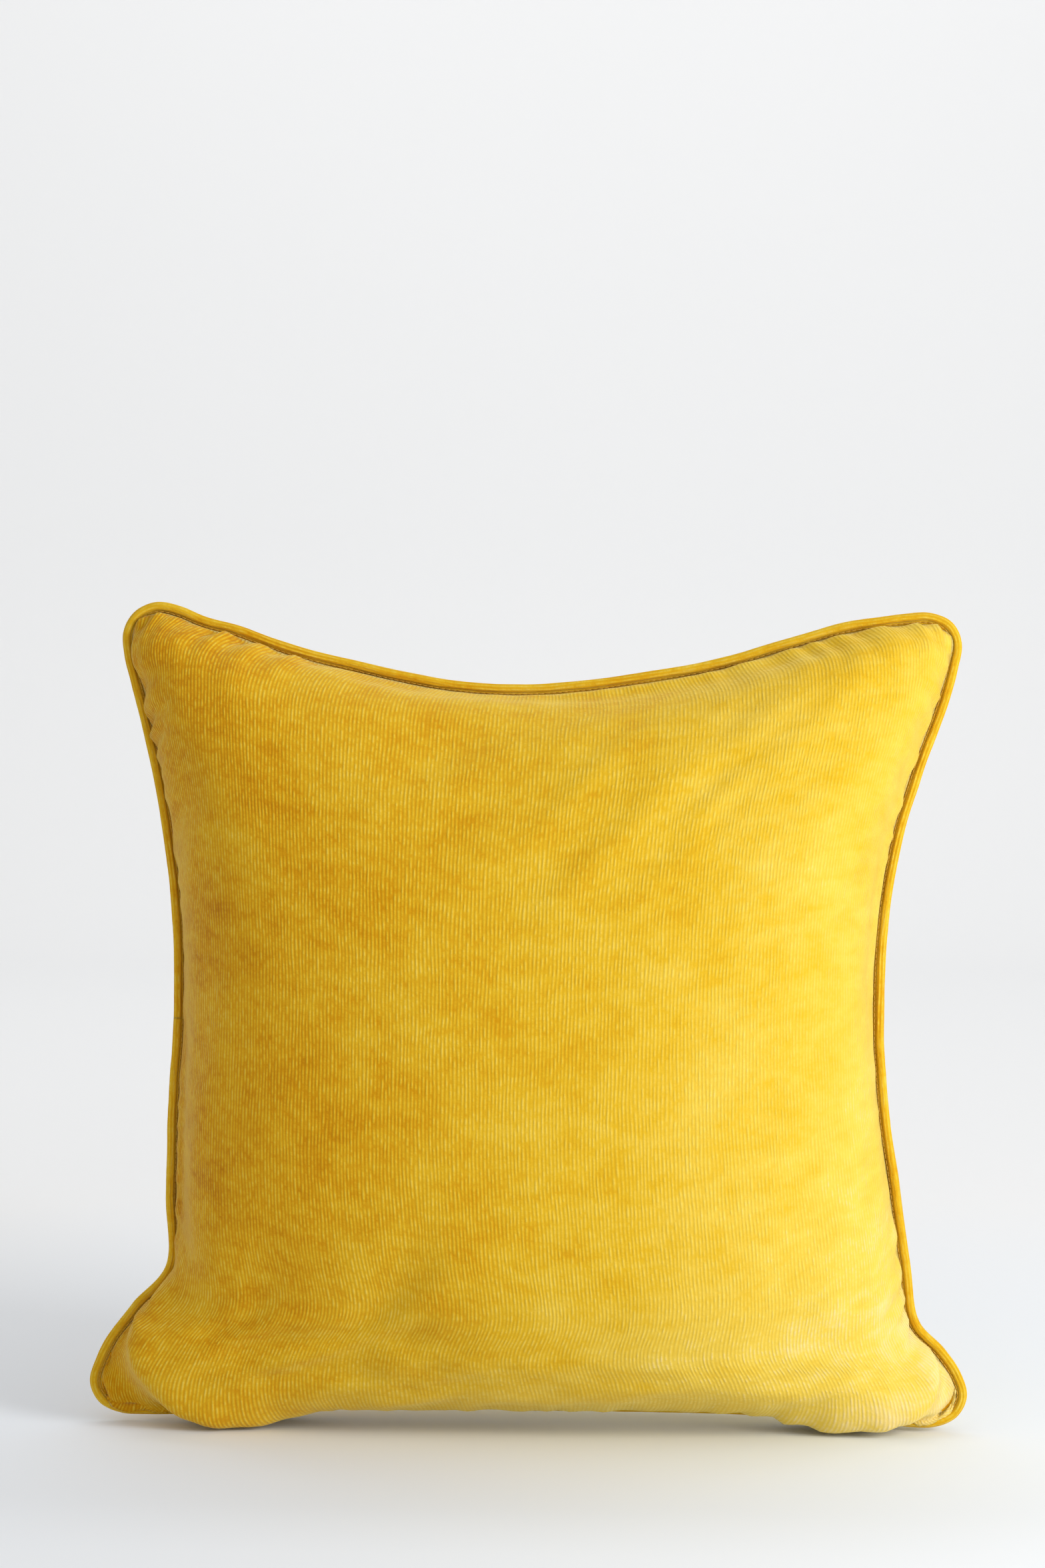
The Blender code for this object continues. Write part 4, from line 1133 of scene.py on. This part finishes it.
# ---------------------------------------------------------------- stage
def build_camera():
    camera = bpy.data.cameras.new("camera")
    camera.lens = 85
    obj = bpy.data.objects.new("camera", camera)
    bpy.context.scene.collection.objects.link(obj)
    target = Vector((-0.002, 0.0, 0.3287))
    azimuth, elevation, distance = math.radians(3.5), math.radians(3.0), 1.885
    away = Vector((math.sin(azimuth) * math.cos(elevation),
                   -math.cos(azimuth) * math.cos(elevation), math.sin(elevation)))
    obj.location = target + away * distance
    obj.rotation_euler = (-away).to_track_quat("-Z", "Y").to_euler()
    bpy.context.scene.camera = obj


def area_light(name, place, aim, size, energy, colour=(1, 1, 1)):
    light = bpy.data.lights.new(name, "AREA")
    light.shape = "RECTANGLE"
    light.size, light.size_y = size
    light.energy = energy
    light.color = colour
    obj = bpy.data.objects.new(name, light)
    bpy.context.scene.collection.objects.link(obj)
    obj.location = place
    obj.rotation_euler = (Vector(aim) - Vector(place)).to_track_quat("-Z", "Y").to_euler()


def build_stage():
    sh = Shader("studio_floor", Roughness=0.9, Specular_IOR_Level=0.1)
    place = sh.node("NewGeometry").outputs["Position"]
    paper = sh.ramp(sh.noise(place, 2.0), ((0.0, (0.915, 0.920, 0.925)),
                                           (1.0, (0.925, 0.930, 0.935))))
    # painted shade: near the pillow the floor is darker and cooler, to cancel the warm light the
    # pillow bounces onto it
    away = sh.node("VectorMath", {0: place}, operation="LENGTH").outputs["Value"]
    near = sh.fit(away, -1.8, 1.35, clamp=True)
    sh.set("Base Color", sh.mix(near, paper, (0.845, 0.895, 0.960)))
    bend_start, bend = 2.3, 0.5
    profile = [(-3.0, 0.0), (bend_start, 0.0)]
    profile += [(bend_start + bend * math.sin(a), bend * (1 - math.cos(a)))
                for a in np.linspace(0.1, math.pi / 2, 12)]
    profile.append((bend_start + bend, 3.0))
    verts = [(x, y, z) for x in (-4.0, 4.0) for y, z in profile]
    floor = mesh_object("studio_floor", verts, grid_faces(2, len(profile)), sh.mat)
    world = bpy.data.worlds.new("studio")
    world.use_nodes = True
    world.node_tree.nodes["Background"].inputs["Color"].default_value = (1, 1, 1, 1)
    world.node_tree.nodes["Background"].inputs["Strength"].default_value = 0.56
    bpy.context.scene.world = world
    bpy.context.scene.view_settings.view_transform = "Standard"
    area_light("key", (1.45, -0.95, 0.75), (0, 0, 0.2), (0.7, 0.9), 22.5)
    area_light("backdrop", (0, 1.1, 2.6), (0, 2.5, 0.4), (3.0, 1.0), 22)


def main():
    seam, cut, front, back = build_base()
    simulate(front, back)
    pucker(front, 0.0)
    pucker(back, 20.0)
    zip_plane = ZipPlane()
    build_front(front, MATERIALS["cloth"])
    build_back(back, zip_plane.half + 0.0032, MATERIALS["cloth"])
    build_piping(seam)
    build_zip(zip_plane)
    build_label(back, MATERIALS["satin"])
    build_pad(front, back)
    build_camera()
    build_stage()


MATERIALS = {
    "cloth": chenille(), "piping": chenille("chenille_piping", painted_light=0.0),
    "thread": grainy("thread", (0.50, 0.24, 0.012), (0.72, 0.42, 0.05), 2600, 0.6, 0.00008),
    "cotton": grainy("cotton", (0.66, 0.60, 0.48), (0.86, 0.82, 0.72), 1400, 0.95),
    "nonwoven": grainy("nonwoven", (0.74, 0.74, 0.72), (0.90, 0.90, 0.88), 900, 0.9, 0.0002,
                       (1, 1, 0.35)),
    "pad_thread": grainy("pad_thread", (0.78, 0.78, 0.76), (0.93, 0.93, 0.91), 2600, 0.6,
                         0.00008),
    "fibre": grainy("fibre", (0.80, 0.80, 0.80), (0.96, 0.96, 0.96), 260, 1.0, 0.0012,
                    (1, 1, 0.3)),
    "tape": woven("zip_tape", (0.42, 0.20, 0.010), (0.68, 0.38, 0.040), 0.0007, 0.8),
    "coil": grainy("zip_coil", (0.52, 0.27, 0.015), (0.72, 0.43, 0.060), 1500, 0.4, 0.00002),
    "metal": grainy("zip_metal", (0.50, 0.49, 0.46), (0.66, 0.65, 0.62), 1200, 0.32, 0.00002,
                    (0.15, 1, 1), 1.0),
    "satin": woven("label_satin", (0.82, 0.82, 0.79), (0.95, 0.95, 0.93), 0.0004, 0.4,
                   0.00004, 0.3)}
main()
